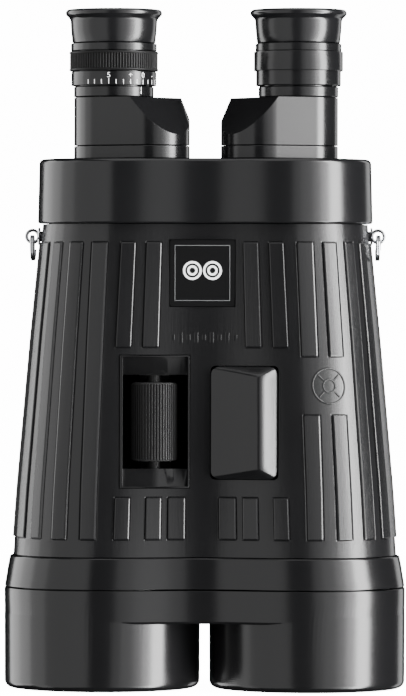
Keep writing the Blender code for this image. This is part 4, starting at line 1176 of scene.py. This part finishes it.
def make_seats():
    low, high, radius = seat_low[2], seat_high[2], 17.35 * MM
    profile = softened([(radius, high), (radius, low), (RING_BORE, low), (RING_BORE, high)], 0.3 * MM)
    seat = mesh_object("cup_seat_left", turned_mesh(profile, eye_centre(-1)), satin_paint)
    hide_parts("eyecup_seat_left")
    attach(seat, "turret_left")
    low, high = ring_low[2], ring_high[2]
    step = 256.3 * MM
    profile = [(RING_BORE, high), (17.15 * MM, high), (17.35 * MM, high - 0.2 * MM),
               (17.35 * MM, step + 0.2 * MM), (17.2 * MM, step), (17.85 * MM, step - 0.1 * MM),
               (18.0 * MM, step - 0.4 * MM), (18.0 * MM, 248.6 * MM), (17.85 * MM, 248.4 * MM),
               (17.15 * MM, 248.3 * MM), (17.15 * MM, low + 0.3 * MM), (16.85 * MM, low),
               (RING_BORE, low)]
    ring = mesh_object("plain_ring_right", turned_mesh(profile, eye_centre(1)), satin_paint)
    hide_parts("eyepiece_ring_right")
    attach(ring, "turret_right")


for side_name, side_sign in SIDES:
    make_tube(side_name, side_sign)
make_scale()
make_grip()
make_seats()

# ================================================================ Eyecups and eye lenses
# Soft rubber cups with a rolled rim push onto the barrels. The coated eye lenses sit in
# blackened cells inside them, below a finely stepped bore.
cup_low, cup_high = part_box("eyecup_left")
cell_low, cell_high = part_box("ocular_cell_left")
eye_glass = coated_glass("coated_eye_glass", (0.5, 0.6, 0.58))
cup_rubber = surface("eyecup_rubber", (0.0045, 0.0045, 0.005), (0.007, 0.007, 0.0075), 0.21, 0.04, 1800.0,
                     0.04)


def make_eyecup(name, side):
    base, top = cup_low[2], cup_high[2]
    lip, neck = 1.45 * MM, 2.2 * MM
    outside = [(17.5 * MM + neck * (1 - math.cos(turn)) * 0.6,
                top - 2 * lip - 2.4 * MM + neck * math.sin(turn))
               for turn in (math.pi / 2.4 * k / 6 for k in range(7))]
    rim = [(19.5 * MM - lip + lip * math.cos(turn), top - lip + lip * math.sin(turn))
           for turn in (math.pi * (k / 12 - 1 / 3) for k in range(11))]
    inside = [(17.4 * MM, top - 0.3 * MM), (16.6 * MM, top - 1.5 * MM), (15.2 * MM, top - 5 * MM),
              (14.0 * MM, top - 10 * MM), (13.2 * MM, base + 0.2 * MM), (13.3 * MM, base)]
    skirt = [(16.6 * MM, base), (16.8 * MM, base + 0.2 * MM), (17.3 * MM, base + 5 * MM)]
    cup = mesh_object(f"cup_{name}", turned_mesh(skirt + outside + rim + inside, eye_centre(side)),
                      cup_rubber, 50)
    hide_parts(f"eyecup_{name}")
    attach(cup, f"turret_{name}")


def make_ocular(name, side, body):
    low, high, edge = cell_low[2], cell_high[2], 9.7 * MM
    profile = [(12.1 * MM, high), (12.1 * MM, low), (10.0 * MM, low), (10.0 * MM, high - 1.2 * MM),
               (10.6 * MM, high)]
    cell = mesh_object(f"eye_cell_{name}", turned_mesh(softened(profile, 0.25 * MM), eye_centre(side), 96),
                       anodised)
    lens_low, lens_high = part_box(f"eye_lens_{name}")
    face = [(edge * k / 12, lens_high[2] - 1.3 * MM * (k / 12) ** 2) for k in range(13)]
    back = [(edge * k / 12, lens_low[2] + 1.0 * MM * (k / 12) ** 2) for k in range(13)]
    glass = turned_mesh(face + list(reversed(back)), eye_centre(side), 72)
    lens = mesh_object(f"eye_glass_{name}", glass, eye_glass, 40)
    for piece, node, finish in ((cell, "ocular_cell", "black_metal"), (lens, "eye_lens", "coated_glass")):
        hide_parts(f"{node}_{name}")
        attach(piece, body)


for side_name, side_sign, body_name in (("left", -1, "ocular_left"), ("right", 1, "turret_right")):
    make_eyecup(side_name, side_sign)
    make_ocular(side_name, side_sign, body_name)

# ================================================================ Optics and stabiliser inside
# The erecting prisms ride on a carrier in a two-axis gimbal, damped by vanes in magnet yokes.
# These parts keep their CAD shapes and take machined, plated and polished finishes.
brushed_alloy = surface("brushed_alloy", (0.42, 0.43, 0.44), (0.55, 0.56, 0.57), 0.34, 0.08, 700.0, 0.08, 1.0,
                        stretch=(1, 1, 14))
ground_steel = surface("ground_steel", (0.4, 0.4, 0.41), (0.52, 0.52, 0.53), 0.22, 0.06, 1300.0, 0.05, 1.0,
                       stretch=(1, 1, 8))
turned_brass = surface("turned_brass", (0.55, 0.38, 0.14), (0.68, 0.5, 0.22), 0.26, 0.07, 1100.0, 0.05, 1.0)
prism_glass = coated_glass("polished_prism_glass", (0.8, 0.86, 0.84))
SLOT_FINISH = {"aluminium": brushed_alloy, "steel": ground_steel, "brass": turned_brass,
               "coated_glass": prism_glass, "black_metal": anodised, "chrome": chrome, "shell": satin_paint,
               "plate": enamel_black,
               "grip_rubber": grip_rubber, "armour": smooth_rubber}
IN_THE_DARK = ("focus_shaft", "focus_bracket")  # seen through the wheel's opening
for node_name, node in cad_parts.items():
    for place in node.material_slots:
        finish = place.material.name.split(".")[0]
        place.material = flocked_black if node_name in IN_THE_DARK else SLOT_FINISH[finish]
